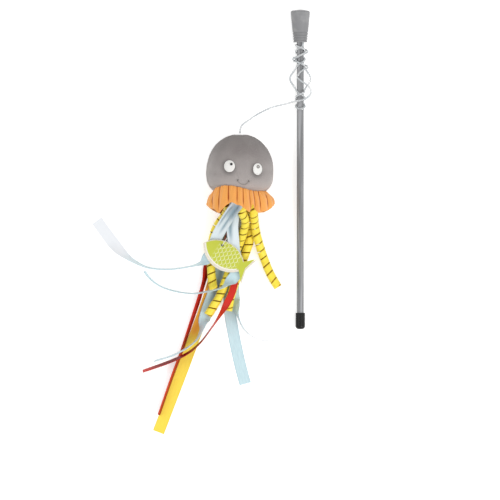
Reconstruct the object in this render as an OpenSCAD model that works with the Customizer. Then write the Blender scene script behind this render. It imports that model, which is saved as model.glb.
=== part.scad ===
// Cat teaser wand: a straight rod with a grip knob and a soft end cap, a clear
// elastic cord wound criss-cross on the rod, and a plush octopus lure with a
// pleated ruffle, satin ribbons, curled ribbons and a small fish-shaped tag.
// Everything lies on the plane z = 0, seen from above: +Y runs up the rod,
// towards the grip knob. All lengths are in millimetres.

/* [Rod] */
// Length of the whole wand, from the cap's tip to the knob's top
wand_len = 274.5; // [200:0.5:420]
// Diameter of the rod
rod_d = 6; // [5:0.5:7]

/* [Grip knob] */
// Length of the grip knob
knob_len = 28; // [20:0.5:40]
// Widest diameter of the knob, at its top
knob_top_d = 16.6; // [15:0.2:22]
// Diameter of the knob at its rim, where the rod enters
knob_rim_d = 11.6; // [11:0.2:15]
// Rounding of the knob's top edge
knob_edge_r = 1.8; // [0.8:0.1:3]
// Rise of the knob's domed top
knob_dome_h = 0.8; // [0.4:0.1:1.6]
// Depth of the socket that holds the rod
knob_socket_len = 20; // [12:0.5:24]
// Depth of the grip grooves near the rim
knob_groove_depth = 0.45; // [0.2:0.05:0.8]
// Distance between the grip grooves
knob_groove_pitch = 2.2; // [1.6:0.1:3]
// Number of grip grooves
knob_grooves = 4; // [2:1:6]
// Width of the plain lip below the grooves
knob_lip_w = 1.6; // [1:0.1:2.5]

/* [End cap] */
// Length of the end cap
cap_len = 14; // [11:0.5:20]
// Wall of the end cap round the rod
cap_wall = 1.05; // [0.6:0.05:2]
// Thickness of the cap's closed end
cap_end_t = 1.6; // [1:0.1:3]
// Rounding of the cap's closed end
cap_edge_r = 2.6; // [1:0.1:3.5]

/* [Elastic cord] */
// Diameter of the cord
cord_d = 1.6; // [1.2:0.1:1.8]
// Rise of the winding in one turn round the rod
wind_pitch = 13.4; // [13:0.2:20]
// Distance from the knob's rim to the middle of the loose loops
wind_middle = 31.4; // [30:0.2:40]
// Reach of the loose loops from the rod's axis
wind_bow_r = 9; // [8:0.2:12]
// Room between two strands where one crosses over the other
wind_room = 0.55; // [0.5:0.05:1.2]
// Diameter of the knot that holds the cord in the head
knot_d = 4.8; // [4:0.2:6]

/* [Plush head] */
// Width of the head
head_w = 56.3; // [48:0.5:70]
// Height of the head from its pole to its underside
head_h = 52; // [48:0.2:66]
// Height of the head below its widest round
head_low_h = 20.8; // [20:0.2:28]
// Thickness of the plush fabric
plush_t = 1.6; // [1:0.1:2.4]
// Depth of the flat on which the head lies
flat_depth = 0.5; // [0.3:0.1:1]
// Diameter of the catnip pouch inside the stuffing
pouch_d = 16; // [10:0.5:24]
// Depth of the knot's middle below the head's pole
knot_depth = 1.8; // [1.4:0.1:3]

/* [Face] */
// Diameter of an embroidered eye
eye_d = 9.6; // [7:0.2:12]
// Thickness of the embroidery
stitch_t = 0.6; // [0.4:0.1:1]
// Diameter of the dark pupil
pupil_d = 1.8; // [1.2:0.1:3]
// Width of the smile from corner to corner
smile_w = 10; // [7:0.5:14]

/* [Ruffle] */
// Distance of the ruffle's seam below the head's widest round
ruffle_drop = 17.8; // [16:0.2:19]
// Height by which the seam runs higher at the front
ruffle_rise = 4.6; // [2:0.2:6]
// Length of the ruffle from the seam to its hem
ruffle_len = 22; // [14:0.5:26]
// Thickness of the ruffle's fabric
ruffle_t = 0.9; // [0.6:0.1:1.4]
// Number of pleats round the ruffle
ruffle_pleats = 20; // [14:1:24]
// Depth of a pleat at the hem
ruffle_pleat_depth = 2.8; // [1:0.2:4]

/* [Ribbons] */
// Width of a satin or flat ribbon
ribbon_w = 10; // [8:0.5:12]
// Width of a red ribbon
red_w = 6; // [4:0.5:8]
// Thickness of a ribbon
ribbon_t = 0.4; // [0.3:0.05:0.6]
// Length of the blue ribbon that sweeps highest
blue_1_len = 186.4; // [90:0.2:240]
// Length of the blue ribbon that crosses the others
blue_2_len = 168; // [90:0.2:240]
// Length of the blue ribbon that curves low to the left
blue_3_len = 179.6; // [90:0.2:240]
// Length of the broad blue ribbon
blue_4_len = 170.6; // [90:0.2:240]
// Length of the blue ribbon that curves to the right
blue_5_len = 156.4; // [90:0.2:240]
// Length of the long red ribbon
red_1_len = 207; // [90:0.2:260]
// Length of the red ribbon that curves to the left
red_2_len = 203.4; // [90:0.2:260]
// Length of the yellow flat ribbon
yellow_len = 221; // [90:0.2:280]

/* [Curled ribbons] */
// Outer diameter of a curled ribbon
curl_d = 7.5; // [6:0.1:9]
// Distance between neighbouring curls
curl_pitch = 7.2; // [6.5:0.1:9]
// Width of the strip that is curled
curl_strip_w = 5.9; // [4:0.1:6]
// Length of the right curled ribbon
curl_1_len = 87.6; // [40:0.2:110]
// Length of the middle curled ribbon
curl_2_len = 121; // [40:0.2:140]
// Length of the left curled ribbon
curl_3_len = 91.6; // [40:0.2:110]
// Length of the lower curled ribbon
curl_4_len = 106; // [40:0.2:120]

/* [Fish tag] */
// Length of the tag from nose to tail
tag_len = 47; // [36:0.5:56]
// Height of the fish's body
tag_h = 24.5; // [18:0.5:28]
// Height of the tail
tag_tail_h = 26; // [16:0.5:30]
// Thickness of the card
tag_t = 0.8; // [0.5:0.1:1.5]
// Thickness of the printed green face
tag_face_t = 0.2; // [0.1:0.1:0.4]
// Width of the card's plain border
tag_border = 1.4; // [0.8:0.1:2.4]
// How far the print sits towards the fish's back
tag_print_shift = 0.8; // [0:0.1:1.2]
// Diameter of the tag's hole
tag_hole_d = 2.4; // [2:0.1:4]
// Diameter of the loop's thread
loop_d = 0.9; // [0.6:0.1:1.2]
// Width of the loop between the middles of its legs
loop_w = 7; // [6:0.2:8]
// Reach of the loop below the tag's underside
loop_below = 10.6; // [8:0.2:11]

/* [Layout] */
// Distance from the rod's axis to the middle of the head
head_side = 51.8; // [45:0.2:80]
// Distance from the cap's tip to the middle of the head, along the rod
head_up = 135.9; // [100:0.1:180]
// Height of the tag's underside above the table
tag_height = 13.4; // [12:0.1:20]

/* [Hidden] */

// Clearances and the overrun of every cut
fit_gap = 0.05;
soft_gap = 0.3;
overrun = 0.5;

// Where the origin lies: beside the rod's axis and above the cap's tip
origin_side = 85.6;
origin_up = 91.9;

// The places of the ribbons were read from a photograph taken straight down.
// A place is a pixel of it, and one pixel shows this many millimetres.
photo_mm = 0.86;
seat_px = 240.1;
seat_py = 196.7;

// Rod, knob and cap: the wand lies on the knob's top edge and on the cap
knob_top_r = knob_top_d / 2;
knob_rim_r = knob_rim_d / 2;
cap_r = rod_d / 2 + fit_gap + cap_wall;
knob_edge_z = wand_len - knob_dome_h - knob_edge_r;
wand_tilt = asin((knob_top_r - cap_r) / (knob_edge_z - cap_edge_r));
axis_rise = cap_r * cos(wand_tilt) - cap_edge_r * sin(wand_tilt);
rim_z = wand_len - knob_len;
rod_start = cap_end_t + fit_gap;
rod_end = rim_z + knob_socket_len - fit_gap;

// Lure: the head's axis lies level, and its underside is cut flat at z = 0
head_x = origin_side - head_side;
head_y = head_up - origin_up;
head_z = head_w / 2 - flat_depth;
seat_t = 1.6;
seat_r = 15;
head_high_h = head_h - head_low_h;
seat_face_y = head_y - head_low_h - soft_gap - seat_t;
knot_y = head_y + head_high_h - knot_depth;
pocket_gap = 0.25;
pocket_r = knot_d / 2 + pocket_gap;
pocket_open_angle = 60;

// Sides and steps of the round forms
cord_sides = 8;
wind_sides = 6;
wind_step = 18;
curl_steps = 8;
route_steps = 3;

// Vector helpers
function unit(v) = v / norm(v);
function blend(a, b, f) = a * (1 - f) + b * f;
function smooth(f) = let(c = max(0, min(1, f))) c * c * (3 - 2 * c);
function tangents(p) = [
    for (i = [0 : len(p) - 1]) unit(p[min(i + 1, len(p) - 1)] - p[max(i - 1, 0)])
];

// Triangles of a solid whose rings have k corners each, with both ends closed
function skin_faces(rings, k) = concat(
    [for (i = [0 : rings - 2], j = [0 : k - 1])
        each [
            [i * k + j, i * k + (j + 1) % k, (i + 1) * k + (j + 1) % k],
            [i * k + j, (i + 1) * k + (j + 1) % k, (i + 1) * k + j]
        ]],
    [for (j = [1 : k - 2]) [0, j + 1, j]],
    [for (j = [1 : k - 2]) [(rings - 1) * k, (rings - 1) * k + j, (rings - 1) * k + j + 1]]
);

module skin(rings) {
    polyhedron([for (r = rings) each r], skin_faces(len(rings), len(rings[0])));
}

// Rings of a round tube along points p; ref gives each ring a steady direction
function tube_rings(p, ref, r, sides) = let(t = tangents(p)) [
    for (i = [0 : len(p) - 1])
        let(side = unit(cross(t[i], ref[i])), up = cross(side, t[i]))
        [for (j = [0 : sides - 1])
            let(a = 360 * j / sides) p[i] + r * (side * cos(a) + up * sin(a))]
];

// Smooth curve through hand-picked rows; it passes through each row
function knot_row(rows, i) =
    i < 0 ? 2 * rows[0] - rows[1]
    : i >= len(rows) ? 2 * rows[len(rows) - 1] - rows[len(rows) - 2]
    : rows[i];
function curve_at(rows, i, f) = let(
        a = knot_row(rows, i - 1), b = knot_row(rows, i),
        c = knot_row(rows, i + 1), d = knot_row(rows, i + 2))
    0.5 * (2 * b + (c - a) * f + (2 * a - 5 * b + 4 * c - d) * f * f
        + (3 * b - a - 3 * c + d) * f * f * f);
function curve(rows, steps) = concat(
    [for (i = [0 : len(rows) - 2], j = [0 : steps - 1]) curve_at(rows, i, j / steps)],
    [rows[len(rows) - 1]]
);

// Length so far at each point, and the point at a given length along the curve
function place(row) = [row[0], row[1], row[2]];
function running(p) = [
    for (i = 0, s = 0; i < len(p);
         s = s + (i + 1 < len(p) ? norm(place(p[i + 1]) - place(p[i])) : 0), i = i + 1) s
];
function at_length(p, s, want) = let(
        last = len(p) - 1,
        found = [for (i = [1 : last]) if (s[i] >= want) i],
        i = len(found) > 0 ? found[0] : last)
    blend(p[i - 1], p[i], (want - s[i - 1]) / max(s[i] - s[i - 1], cord_d / 1000));

// Puts a piece drawn upright on its own axis onto the rod as it lies
module on_wand() {
    translate([origin_side, -origin_up, axis_rise]) rotate([wand_tilt - 90, 0, 0]) children();
}
function wand_point(p) = [
    origin_side + p[0],
    -origin_up + p[2] * cos(wand_tilt) + p[1] * sin(wand_tilt),
    axis_rise + p[2] * sin(wand_tilt) - p[1] * cos(wand_tilt)
];

// The winding has three passes. Each keeps its turn angle through the loose
// loops (hold), eases into the turns (ease) and then winds at the full pitch.
wind_r = rod_d / 2 + cord_d / 2 + 0.1 * cord_d;
wind_lift = cord_d + wind_room;
wind_rate = 360 / wind_pitch;
bow_hold = 0.41 * wind_pitch;
bow_ease = 0.68 * wind_pitch;
cross_ease = 0.66 * wind_pitch;
cross_hold = bow_hold + bow_ease / 2 - 125 / wind_rate - cross_ease / 2;

cross_angle = -35;
low_turn = 390;
high_turn = 480;
rim_turn = 490;

// Distance from the middle of the loose loops after a given turn angle
function wind_reach(turn, hold, ease) = let(g = turn / wind_rate)
    g <= ease / 2 ? hold + sqrt(2 * ease * g) : g + hold + ease / 2;
// How far a strand is lifted over the one below, by its angle from the crossing
function lift_share(angle) = let(off = abs(((angle + 90) % 180 + 180) % 180 - 90))
    smooth((64 - off) / 34);
// Swell of a loose loop between its two wound ends
function bow_share(v) = let(f = abs(v) / (bow_hold + 0.55 * bow_ease))
    f >= 1 ? 0 : pow(cos(90 * f), 2);
// One half of a pass, from the loose loops outwards: [angle, radius, reach]
function half_pass(turns, side, middle, hold, ease, sign, kind) = [
    for (turn = [wind_step : wind_step : turns])
        let(
            v = sign * wind_reach(turn, hold, ease),
            angle = middle + side * turn,
            lift = kind == "under" ? 0
                : kind == "over" ? wind_lift * lift_share(angle)
                : 1.15 * wind_lift * lift_share(angle + 90),
            swell = kind == "cross" ? 0 : (wind_bow_r - wind_r) * bow_share(v))
        [angle, wind_r + max(lift, swell), v]
];
function flip(list) = [for (i = [len(list) - 1 : -1 : 0]) list[i]];
function loose(middle, hold, kind) = [
    for (f = [-1 : 0.4 : 1]) let(v = f * hold)
        [middle, wind_r + (kind == "cross" ? wind_lift : (wind_bow_r - wind_r) * bow_share(v)), v]
];
function turn_back(first, sweep, reach, sign, kind) = [
    for (i = [1 : 7]) let(f = i / 4 - 1, angle = first + sweep * i / 8)
        [angle,
            wind_r + (kind == "over" && f < 0 ? wind_lift * lift_share(angle) : 0),
            sign * (reach + (1 - f * f) * abs(sweep) / (4 * wind_rate))]
];
pass_down = concat(
    flip(half_pass(rim_turn, 1, -90, bow_hold, bow_ease, -1, "under")),
    loose(-90, bow_hold, "under"),
    half_pass(low_turn, 1, -90, bow_hold, bow_ease, 1, "under"));
pass_up = concat(
    flip(half_pass(low_turn, -1, 90, bow_hold, bow_ease, 1, "over")),
    flip(loose(90, bow_hold, "over")),
    half_pass(high_turn, -1, 90, bow_hold, bow_ease, -1, "over"));
pass_last = concat(
    flip(half_pass(high_turn + 125, 1, cross_angle, cross_hold, cross_ease, -1, "cross")));
low_reach = wind_reach(low_turn, bow_hold, bow_ease);
high_reach = wind_reach(high_turn, bow_hold, bow_ease);
wind_path = concat(
    pass_down,
    turn_back(low_turn - 90, 120, low_reach, 1, "under"),
    pass_up,
    turn_back(90 - high_turn, -120, high_reach, -1, "over"),
    pass_last);
function wind_place(w) = [w[1] * sin(w[0]), -w[1] * cos(w[0]), rim_z - wind_middle - w[2]];
// Straight length of cord where the winding leaves the knob's rim
rim_lead = [for (share = [0, 0.5, 1])
    [wind_r * sin(wind_path[0][0]), -wind_r * cos(wind_path[0][0]), rim_z - share * cord_d]];
wind_local = concat(rim_lead, [for (w = wind_path) wind_place(w)]);
wind_points = [for (p = wind_local) wand_point(p)];
wind_out = [for (p = wind_local) let(r = norm([p[0], p[1]]))
    wand_point([p[0] / r, p[1] / r, 0]) - wand_point([0, 0, 0])];

// Least gap of the winding to itself, past the strand's own neighbours
skip = 14;
wind_gap = min([
    for (i = [0 : len(wind_points) - 1])
        for (j = [i + skip : 1 : len(wind_points) - 1])
            norm(wind_points[i] - wind_points[j])
]) - cord_d;
echo(least_gap_of_winding = wind_gap, points = len(wind_points));

// Free run of the cord in round numbers: from the winding's last strand,
// down the front of the rod, off to the left and into the head's pole
run_route = [
    [84, 123, 15.4], [87, 120.5, 15.6], [91, 118, 15], [94.4, 114, 13.5],
    [94.4, 110, 12.4], [91, 106.5, 12.6], [86, 104.6, 13], [80, 103.4, 12.4],
    [72, 101.2, 11.6], [61, 98.4, 12], [50, 93.2, 15.4], [41.4, 87.5, 20.6],
    [36, 83.5, 25], [34.2, 80, 27.2]
];
run_start = wind_points[len(wind_points) - 1];
run_way = unit(run_start - wind_points[len(wind_points) - 2]);
run_end = [head_x, knot_y + knot_d / 2 + 2 * fit_gap, head_z];
run_points = concat([run_start],
    curve(concat([run_start + cord_d * run_way], run_route, [run_end + [0, cord_d, 0]]),
        route_steps),
    [run_end]);
echo(cord_run_length = running(run_points)[len(run_points) - 1],
    winding_length = running(wind_points)[len(wind_points) - 1]);

module wand_rod() {
    color("#8f8f92") on_wand() translate([0, 0, rod_start])
        cylinder(d = rod_d, h = rod_end - rod_start, $fn = 48);
}

module grip_knob() {
    groove_zone = knob_lip_w + knob_grooves * knob_groove_pitch;
    color("#8c8c8e") on_wand() difference() {
        rotate_extrude($fn = 72) polygon(concat(
            [[0, rim_z], [knob_rim_r, rim_z]],
            [[knob_top_r, knob_edge_z]],
            [for (a = [15 : 15 : 75])
                [knob_top_r - knob_edge_r * (1 - cos(a)), knob_edge_z + knob_edge_r * sin(a)]],
            [[knob_top_r - knob_edge_r, knob_edge_z + knob_edge_r], [0, wand_len]]
        ));
        translate([0, 0, rim_z - overrun])
            cylinder(d = rod_d + 2 * fit_gap, h = knob_socket_len + overrun, $fn = 48);
        for (i = [0 : knob_grooves - 1])
            translate([0, 0, rim_z + knob_lip_w + i * knob_groove_pitch])
                rotate_extrude($fn = 72)
                    translate([knob_rim_r + (knob_top_r - knob_rim_r)
                        * (knob_lip_w + i * knob_groove_pitch) / (knob_len - knob_edge_r), 0])
                        circle(r = knob_groove_depth, $fn = 16);
    }
}

module end_cap() {
    color("#161616") on_wand() difference() {
        rotate_extrude($fn = 72) polygon(concat(
            [[0, 0], [cap_r - cap_edge_r, 0]],
            [for (a = [15 : 15 : 75])
                [cap_r - cap_edge_r * (1 - sin(a)), cap_edge_r * (1 - cos(a))]],
            [[cap_r, cap_edge_r], [cap_r, cap_len], [0, cap_len]]
        ));
        translate([0, 0, cap_end_t])
            cylinder(d = rod_d + 2 * fit_gap, h = cap_len, $fn = 48);
    }
}

module cord_winding() {
    color("#e8ecef") skin(tube_rings(wind_points, wind_out, cord_d / 2, wind_sides));
}

module cord_run() {
    color("#e8ecef") skin(tube_rings(run_points, [for (p = run_points) [0, 0, 1]], cord_d / 2, cord_sides));
}

module cord_knot() {
    color("#dfe4e8") translate([head_x, knot_y, head_z]) sphere(d = knot_d, $fn = 48);
}

// Outline of a round of the head: half of an oval that is a little squarer
// than an ellipse, fuller below its widest round, at a depth below the plush
high_power = 0.92;
low_power = 0.64;
function head_ring(a, depth) =
    a > 0 ? [(head_w / 2 - depth) * pow(cos(a), high_power), (head_high_h - depth) * sin(a)]
    : [(head_w / 2 - depth) * pow(cos(a), low_power), -(head_low_h - depth) * pow(sin(-a), low_power)];
// Radius of the head at a distance below its widest round
function head_r_at(drop) =
    head_w / 2 * pow(1 - pow(drop / head_low_h, 2 / low_power), low_power / 2);
module head_round(depth) {
    steps = 15;
    translate([head_x, head_y, head_z]) rotate([-90, 0, 0])
        rotate_extrude($fn = 72) polygon(concat(
            [[0, -(head_low_h - depth)]],
            [for (i = [-steps + 1 : steps - 1]) head_ring(90 * i / steps, depth)],
            [[0, head_high_h - depth]]
        ));
}
// Room in which the knot turns, open towards the pole
module knot_pocket(extra) {
    mouth = knot_depth + overrun;
    translate([head_x, knot_y, head_z]) {
        sphere(r = pocket_r + extra, $fn = 48);
        rotate([-90, 0, 0]) rotate_extrude($fn = 48) polygon([
            [0, 0], [mouth * tan(pocket_open_angle), mouth], [0, mouth]
        ]);
    }
}
module above_table() {
    translate([head_x - head_w, head_y - head_h, 0]) cube([2 * head_w, 2 * head_h, 2 * head_w]);
}
module head_shell() {
    intersection() {
        difference() {
            head_round(0);
            head_round(plush_t);
            knot_pocket(0);
        }
        above_table();
    }
}
module head_front() {
    color("#a39c9a") intersection() {
        head_shell();
        translate([head_x - head_w, head_y - head_h, head_z]) cube([2 * head_w, 2 * head_h, head_w]);
    }
}
module head_back() {
    color("#9a9391") intersection() {
        head_shell();
        translate([head_x - head_w, head_y - head_h, head_z - head_w]) cube([2 * head_w, 2 * head_h, head_w]);
    }
}
module stuffing() {
    color("#f4f4f0") difference() {
        head_round(plush_t + soft_gap);
        knot_pocket(soft_gap);
        translate([head_x, head_y, head_z]) sphere(d = pouch_d + 2 * soft_gap, $fn = 48);
    }
}
module catnip_pouch() {
    color("#d8cfb0") translate([head_x, head_y, head_z]) sphere(d = pouch_d, $fn = 48);
}

// Eyes and smile: thin embroidery, turned and tilted as the face is
face_turn = 7;
face_tilt = -5;
eye_spread_share = 0.215;
eye_rise_share = 0.052;
smile_side_share = 0.035;
smile_drop_share = -0.178;
module on_face(side_share, up_share) {
    side = asin(2 * side_share);
    up = asin(2 * up_share);
    translate([head_x, head_y, head_z]) rotate([0, face_turn, face_tilt])
        rotate([-up, side, 0]) translate([0, 0, head_w / 2]) children();
}
// A patch of embroidery: a skin that follows the plush, cut to an outline
module embroidery(gap, side_share, up_share) {
    intersection() {
        difference() {
            head_round(-gap - stitch_t);
            head_round(-gap);
        }
        on_face(side_share, up_share)
            translate([0, 0, -head_w / 4]) linear_extrude(head_w / 2) children();
    }
}
module eye_disc(side) {
    color("white") embroidery(soft_gap, side * eye_spread_share, eye_rise_share)
        circle(d = eye_d, $fn = 48);
}
module pupil(side, side_share, up_share) {
    color("#4a4a4c") embroidery(soft_gap + stitch_t + fit_gap,
            side * eye_spread_share + side_share, eye_rise_share + up_share)
        circle(d = pupil_d, $fn = 32);
}
module left_eye() { eye_disc(-1); }
module right_eye() { eye_disc(1); }
module left_pupil() { pupil(-1, 0.03, 0.035); }
module right_pupil() { pupil(1, 0.014, 0.026); }
module smile_stitch() {
    smile_r = smile_w * 0.72;
    thread_w = stitch_t;
    color("#6b6664") embroidery(soft_gap, smile_side_share, smile_drop_share)
        translate([0, smile_r]) intersection() {
            difference() {
                circle(r = smile_r + thread_w / 2, $fn = 96);
                circle(r = smile_r - thread_w / 2, $fn = 96);
            }
            translate([-smile_w / 2, -2 * smile_r]) square([smile_w, 1.6 * smile_r]);
        }
}

// Ruffle: a pleated skirt sewn to the head. It leans out at the sides and at
// the front, and lies on the table at the back. Angle 0 is the front.
ruffle_columns = 5 * ruffle_pleats;
ruffle_rows = 4;
// Share of the seam's rise, most where the seam runs highest
function ruffle_bump(a) = smooth(1 - abs((a > 180 ? a - 360 : a) + 24) / 62);
function ruffle_back(a) = smooth((-cos(a) - 0.3) / 0.5);
function ruffle_drop_at(a) = ruffle_drop - ruffle_rise * ruffle_bump(a);
// Lean from the head's axis, and the hem's share of the full length: the
// skirt reaches least at the sides and most between them and the front
function ruffle_lean(a) = 27 + 5 * cos(4 * a) + 5 * sin(a) - 6 * ruffle_back(a);
function ruffle_reach_share(a) = 0.78 + 0.13 * cos(2 * a) - 0.12 * cos(4 * a);
function pleat(a, f) = ruffle_pleat_depth / 2 * (0.15 + 0.85 * f)
    * (sin(ruffle_pleats * a) + 0.25 * sin(3 * a + 40) * f);
function ruffle_point(a, f, out) = let(
        s = f * ruffle_len * ruffle_reach_share(a),
        lean = ruffle_lean(a),
        seam_r = head_r_at(ruffle_drop_at(a)) + 2 * soft_gap,
        r = seam_r + s * sin(lean) + pleat(a, f) * cos(lean) + out,
        along = -ruffle_drop_at(a) - s * cos(lean) + pleat(a, f) * 0.4,
        z = head_z + r * cos(a))
    [head_x + r * sin(a), head_y + along, max(z, out > 0 ? 0 : ruffle_t)];
function ruffle_ring(a) = concat(
    [for (i = [0 : ruffle_rows]) ruffle_point(a, i / ruffle_rows, 0)],
    [for (i = [ruffle_rows : -1 : 0]) ruffle_point(a, i / ruffle_rows, ruffle_t)]
);
module ruffle() {
    k = 2 * (ruffle_rows + 1);
    n = ruffle_columns;
    color("#f9a04e") polyhedron(
        [for (i = [0 : n - 1]) each ruffle_ring(360 * i / n)],
        [for (i = [0 : n - 1], j = [0 : k - 1]) let(m = (i + 1) % n)
            each [
                [i * k + j, i * k + (j + 1) % k, m * k + (j + 1) % k],
                [i * k + j, m * k + (j + 1) % k, m * k + j]
            ]]
    );
}

// Seat: the round of fabric under the head to which the ribbons are sewn
module ribbon_seat() {
    color("#8b8482") difference() {
        translate([head_x, seat_face_y, head_z]) rotate([-90, 0, 0])
            cylinder(r = seat_r, h = head_h / 4, $fn = 72);
        head_round(-soft_gap);
    }
}

// Flat ribbons. Each row of a route is a pixel across, a pixel down, the
// height as a share of a level and the roll of the ribbon about its length.
level = 10;
function route_row(r) = [
    head_x + (r[0] - seat_px) * photo_mm,
    seat_face_y + (seat_py - r[1]) * photo_mm,
    r[2] * level,
    r[3]
];
// A root is given by its shares of the seat's radius, across and up
function root_row(root) = [
    head_x + root[0] * seat_r, seat_face_y, head_z + root[1] * seat_r, root[2]
];
function route(root, rows, len) = let(
        start = root_row(root),
        lead = start + [0, -ribbon_w / 2, 0, 0],
        dense = curve(concat([start, lead], [for (r = rows) route_row(r)]), route_steps),
        s = running(dense))
    concat([for (i = [0 : len(dense) - 1]) if (s[i] < len - ribbon_w / 8) dense[i]],
        [at_length(dense, s, len)]);
// A ribbon that would dip below the table rests on it instead
function rest(r, w) = [
    r[0], r[1], max(r[2], w / 2 * abs(sin(r[3])) + ribbon_t / 2)
];
module ribbon(points, w) {
    p = [for (r = points) rest(r, w)];
    t = tangents(p);
    skin([for (i = [0 : len(p) - 1])
        let(
            along = i == 0 ? [0, -1, 0] : t[i],
            left = unit([-along[1], along[0], 0]),
            up = cross(along, left),
            wide = (left * cos(points[i][3]) + up * sin(points[i][3])) * w / 2,
            thick = unit(cross(along, wide)) * ribbon_t / 2)
        [p[i] - wide - thick, p[i] - wide + thick, p[i] + wide + thick, p[i] + wide - thick]
    ]);
}

blue_1 = route([-0.1, 0.85, 0], [
    [231.5, 212, 3.45, 0], [223.2, 225, 2.05, 0], [217.1, 236, 1.27, 0], [214.3, 245, 1.12, 0],
    [211, 252.5, 1.13, 0], [206.5, 258.5, 1.13, 20], [201, 262, 1.1, 66], [193.5, 264.6, 0.85, 78],
    [183.5, 266.8, 0.62, 78], [169, 268.5, 0.56, 78], [152, 267.5, 0.56, 78],
    [140.5, 263.8, 0.56, 74], [128, 256.5, 0.52, 60], [119, 248.5, 0.34, 28], [111, 239, 0.08, 0],
    [97, 220, 0.04, 0]
], blue_1_len);
blue_2 = route([-0.25, 0.55, 0], [
    [234, 212, 2.75, 0], [232.6, 226, 1.95, 0], [233.4, 238, 1.36, 0], [234.5, 250, 1.16, 0],
    [237, 262, 1.14, 0], [237.4, 270.3, 1.13, 0], [234, 277.6, 1.13, 0], [228, 283.4, 1.34, 36],
    [221, 287.3, 1.62, 75], [208, 290.5, 1.62, 78], [195, 292.5, 1.15, 78], [181, 291.5, 0.62, 78],
    [168, 288.5, 0.56, 78], [158, 284, 0.56, 78], [149, 276.5, 0.56, 76], [142, 266, 0.56, 74]
], blue_2_len);
blue_3 = route([-0.2, -0.17, 0], [
    [235, 212, 1.6, 0], [230.5, 224, 0.75, 0], [227, 233, 0.3, 0], [225.5, 240, 0.17, 0],
    [223.5, 250, 0.13, 0], [220.5, 262, 0.13, 0], [218, 275, 0.13, 0], [214.8, 288, 0.13, 0],
    [211, 299, 0.13, 0], [207.3, 309, 0.13, 0], [204.8, 318, 0.15, 4], [202.4, 327.6, 0.5, 52],
    [197.4, 337.8, 0.6, 77], [190, 345, 1.02, 78], [181, 350.5, 1.14, 78], [170, 355.5, 0.98, 78],
    [151, 361, 0.6, 76]
], blue_3_len);
blue_4 = route([0.31, -0.76, 0], [
    [244, 212, 0.4, 0], [241, 235, 0.05, 0], [236, 258, 0.03, 0], [231, 283, 0.03, 0],
    [229.3, 300, 0.03, 0], [230.6, 316, 0.03, 0], [234, 335, 0.03, 0], [237.3, 351, 0.03, 0],
    [241, 367, 0.03, 0], [246, 385.5, 0.03, 0]
], blue_4_len);
blue_5 = route([-0.3, -0.41, 0], [
    [237, 212, 1.02, 0], [239, 233, 0.2, 0], [238, 258, 0.11, 0], [233.6, 283, 0.11, 0],
    [234.6, 298, 0.12, 0], [236.6, 306, 0.42, 38], [238, 315, 0.58, 76], [243.8, 328, 0.58, 76],
    [254.6, 337, 0.58, 76], [271, 340.5, 0.56, 74], [291, 334, 0.56, 70]
], blue_5_len);
red_1 = route([-0.67, -0.3, 0], [
    [225.2, 212, 1.05, 0], [223.5, 222, 0.34, 0], [217, 236, 0.14, 0], [210, 256, 0.13, 0],
    [206.8, 267, 0.16, -10], [204.3, 280, 0.31, -55], [198.5, 300, 0.31, -56],
    [189.5, 327, 0.32, -62], [181.5, 351, 0.34, -68], [172.5, 375, 0.35, -70],
    [158.4, 416, 0.36, -72]
], red_1_len);
red_2 = route([0.05, 0.2, 0], [
    [235, 212, 2.2, 40], [229.5, 226, 1.2, 82], [224.7, 240.6, 0.72, 88], [228, 252, 0.93, 35],
    [233.4, 263, 1, 0], [235.6, 276, 1, 0], [232.4, 291, 1, 0], [227.8, 301, 1.02, 8],
    [222.8, 310, 1.03, 50], [217.5, 318.4, 0.97, 72], [212, 326.5, 0.87, 76], [202, 340, 0.72, 78],
    [192.5, 349, 0.88, 78], [183, 355, 0.98, 78], [172, 360, 0.82, 78], [160, 364.5, 0.5, 78],
    [139, 371.8, 0.33, 78]
], red_2_len);
yellow = route([-0.39, -0.73, 0], [
    [232.6, 212, 0.42, 0], [228.4, 222, 0.06, 0], [222, 238, 0.04, 0], [215, 275, 0.03, 0], [206, 305, 0.03, 0],
    [195, 335, 0.03, 0], [184, 365, 0.03, 0], [158, 433, 0.03, 0]
], yellow_len);

module blue_satin() { color("#cde6ec") children(); }
module red_satin() { color("#db3a2e") children(); }
module yellow_cloth() { color("#fbe04a") children(); }
module blue_ribbon_1() { blue_satin() ribbon(blue_1, ribbon_w); }
module blue_ribbon_2() { blue_satin() ribbon(blue_2, ribbon_w); }
module blue_ribbon_3() { blue_satin() ribbon(blue_3, ribbon_w); }
module blue_ribbon_4() { blue_satin() ribbon(blue_4, ribbon_w); }
module blue_ribbon_5() { blue_satin() ribbon(blue_5, ribbon_w); }
module red_ribbon_1() { red_satin() ribbon(red_1, red_w); }
module red_ribbon_2() { red_satin() ribbon(red_2, red_w); }
module yellow_ribbon() { yellow_cloth() ribbon(yellow, ribbon_w); }

// Curled ribbons: a strip wound into a helix round its own route
curl_r = curl_d / 2;
function curl_rings(points, len, phase) = let(
        p = [for (r = points) place(r)],
        s = running(p),
        turns = (len - curl_strip_w) / curl_pitch,
        steps = floor(turns * curl_steps))
    [for (i = [0 : steps])
        let(
            angle = phase + 360 * i / curl_steps,
            middle = curl_strip_w / 2 + i * curl_pitch / curl_steps,
            ends = [for (side = [-1, 1])
                let(
                    at = middle + side * curl_strip_w / 2,
                    c = at_length(p, s, at),
                    t = unit(at_length(p, s, at + curl_pitch / 9) - at_length(p, s, at - curl_pitch / 9)),
                    left = unit([-t[1], t[0], 0]),
                    up = cross(t, left),
                    out = left * cos(angle) + up * sin(angle))
                [c + out * (curl_r - ribbon_t), c + out * curl_r]])
        [ends[0][0], ends[0][1], ends[1][1], ends[1][0]]
    ];
function curl_route(root, rows) = let(start = root_row(root) - [0, 2 * ribbon_t, 0, 0])
    curve(concat([start, start + [0, -ribbon_w / 2, 0, 0]], [for (r = rows) route_row(r)]), route_steps);
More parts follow.
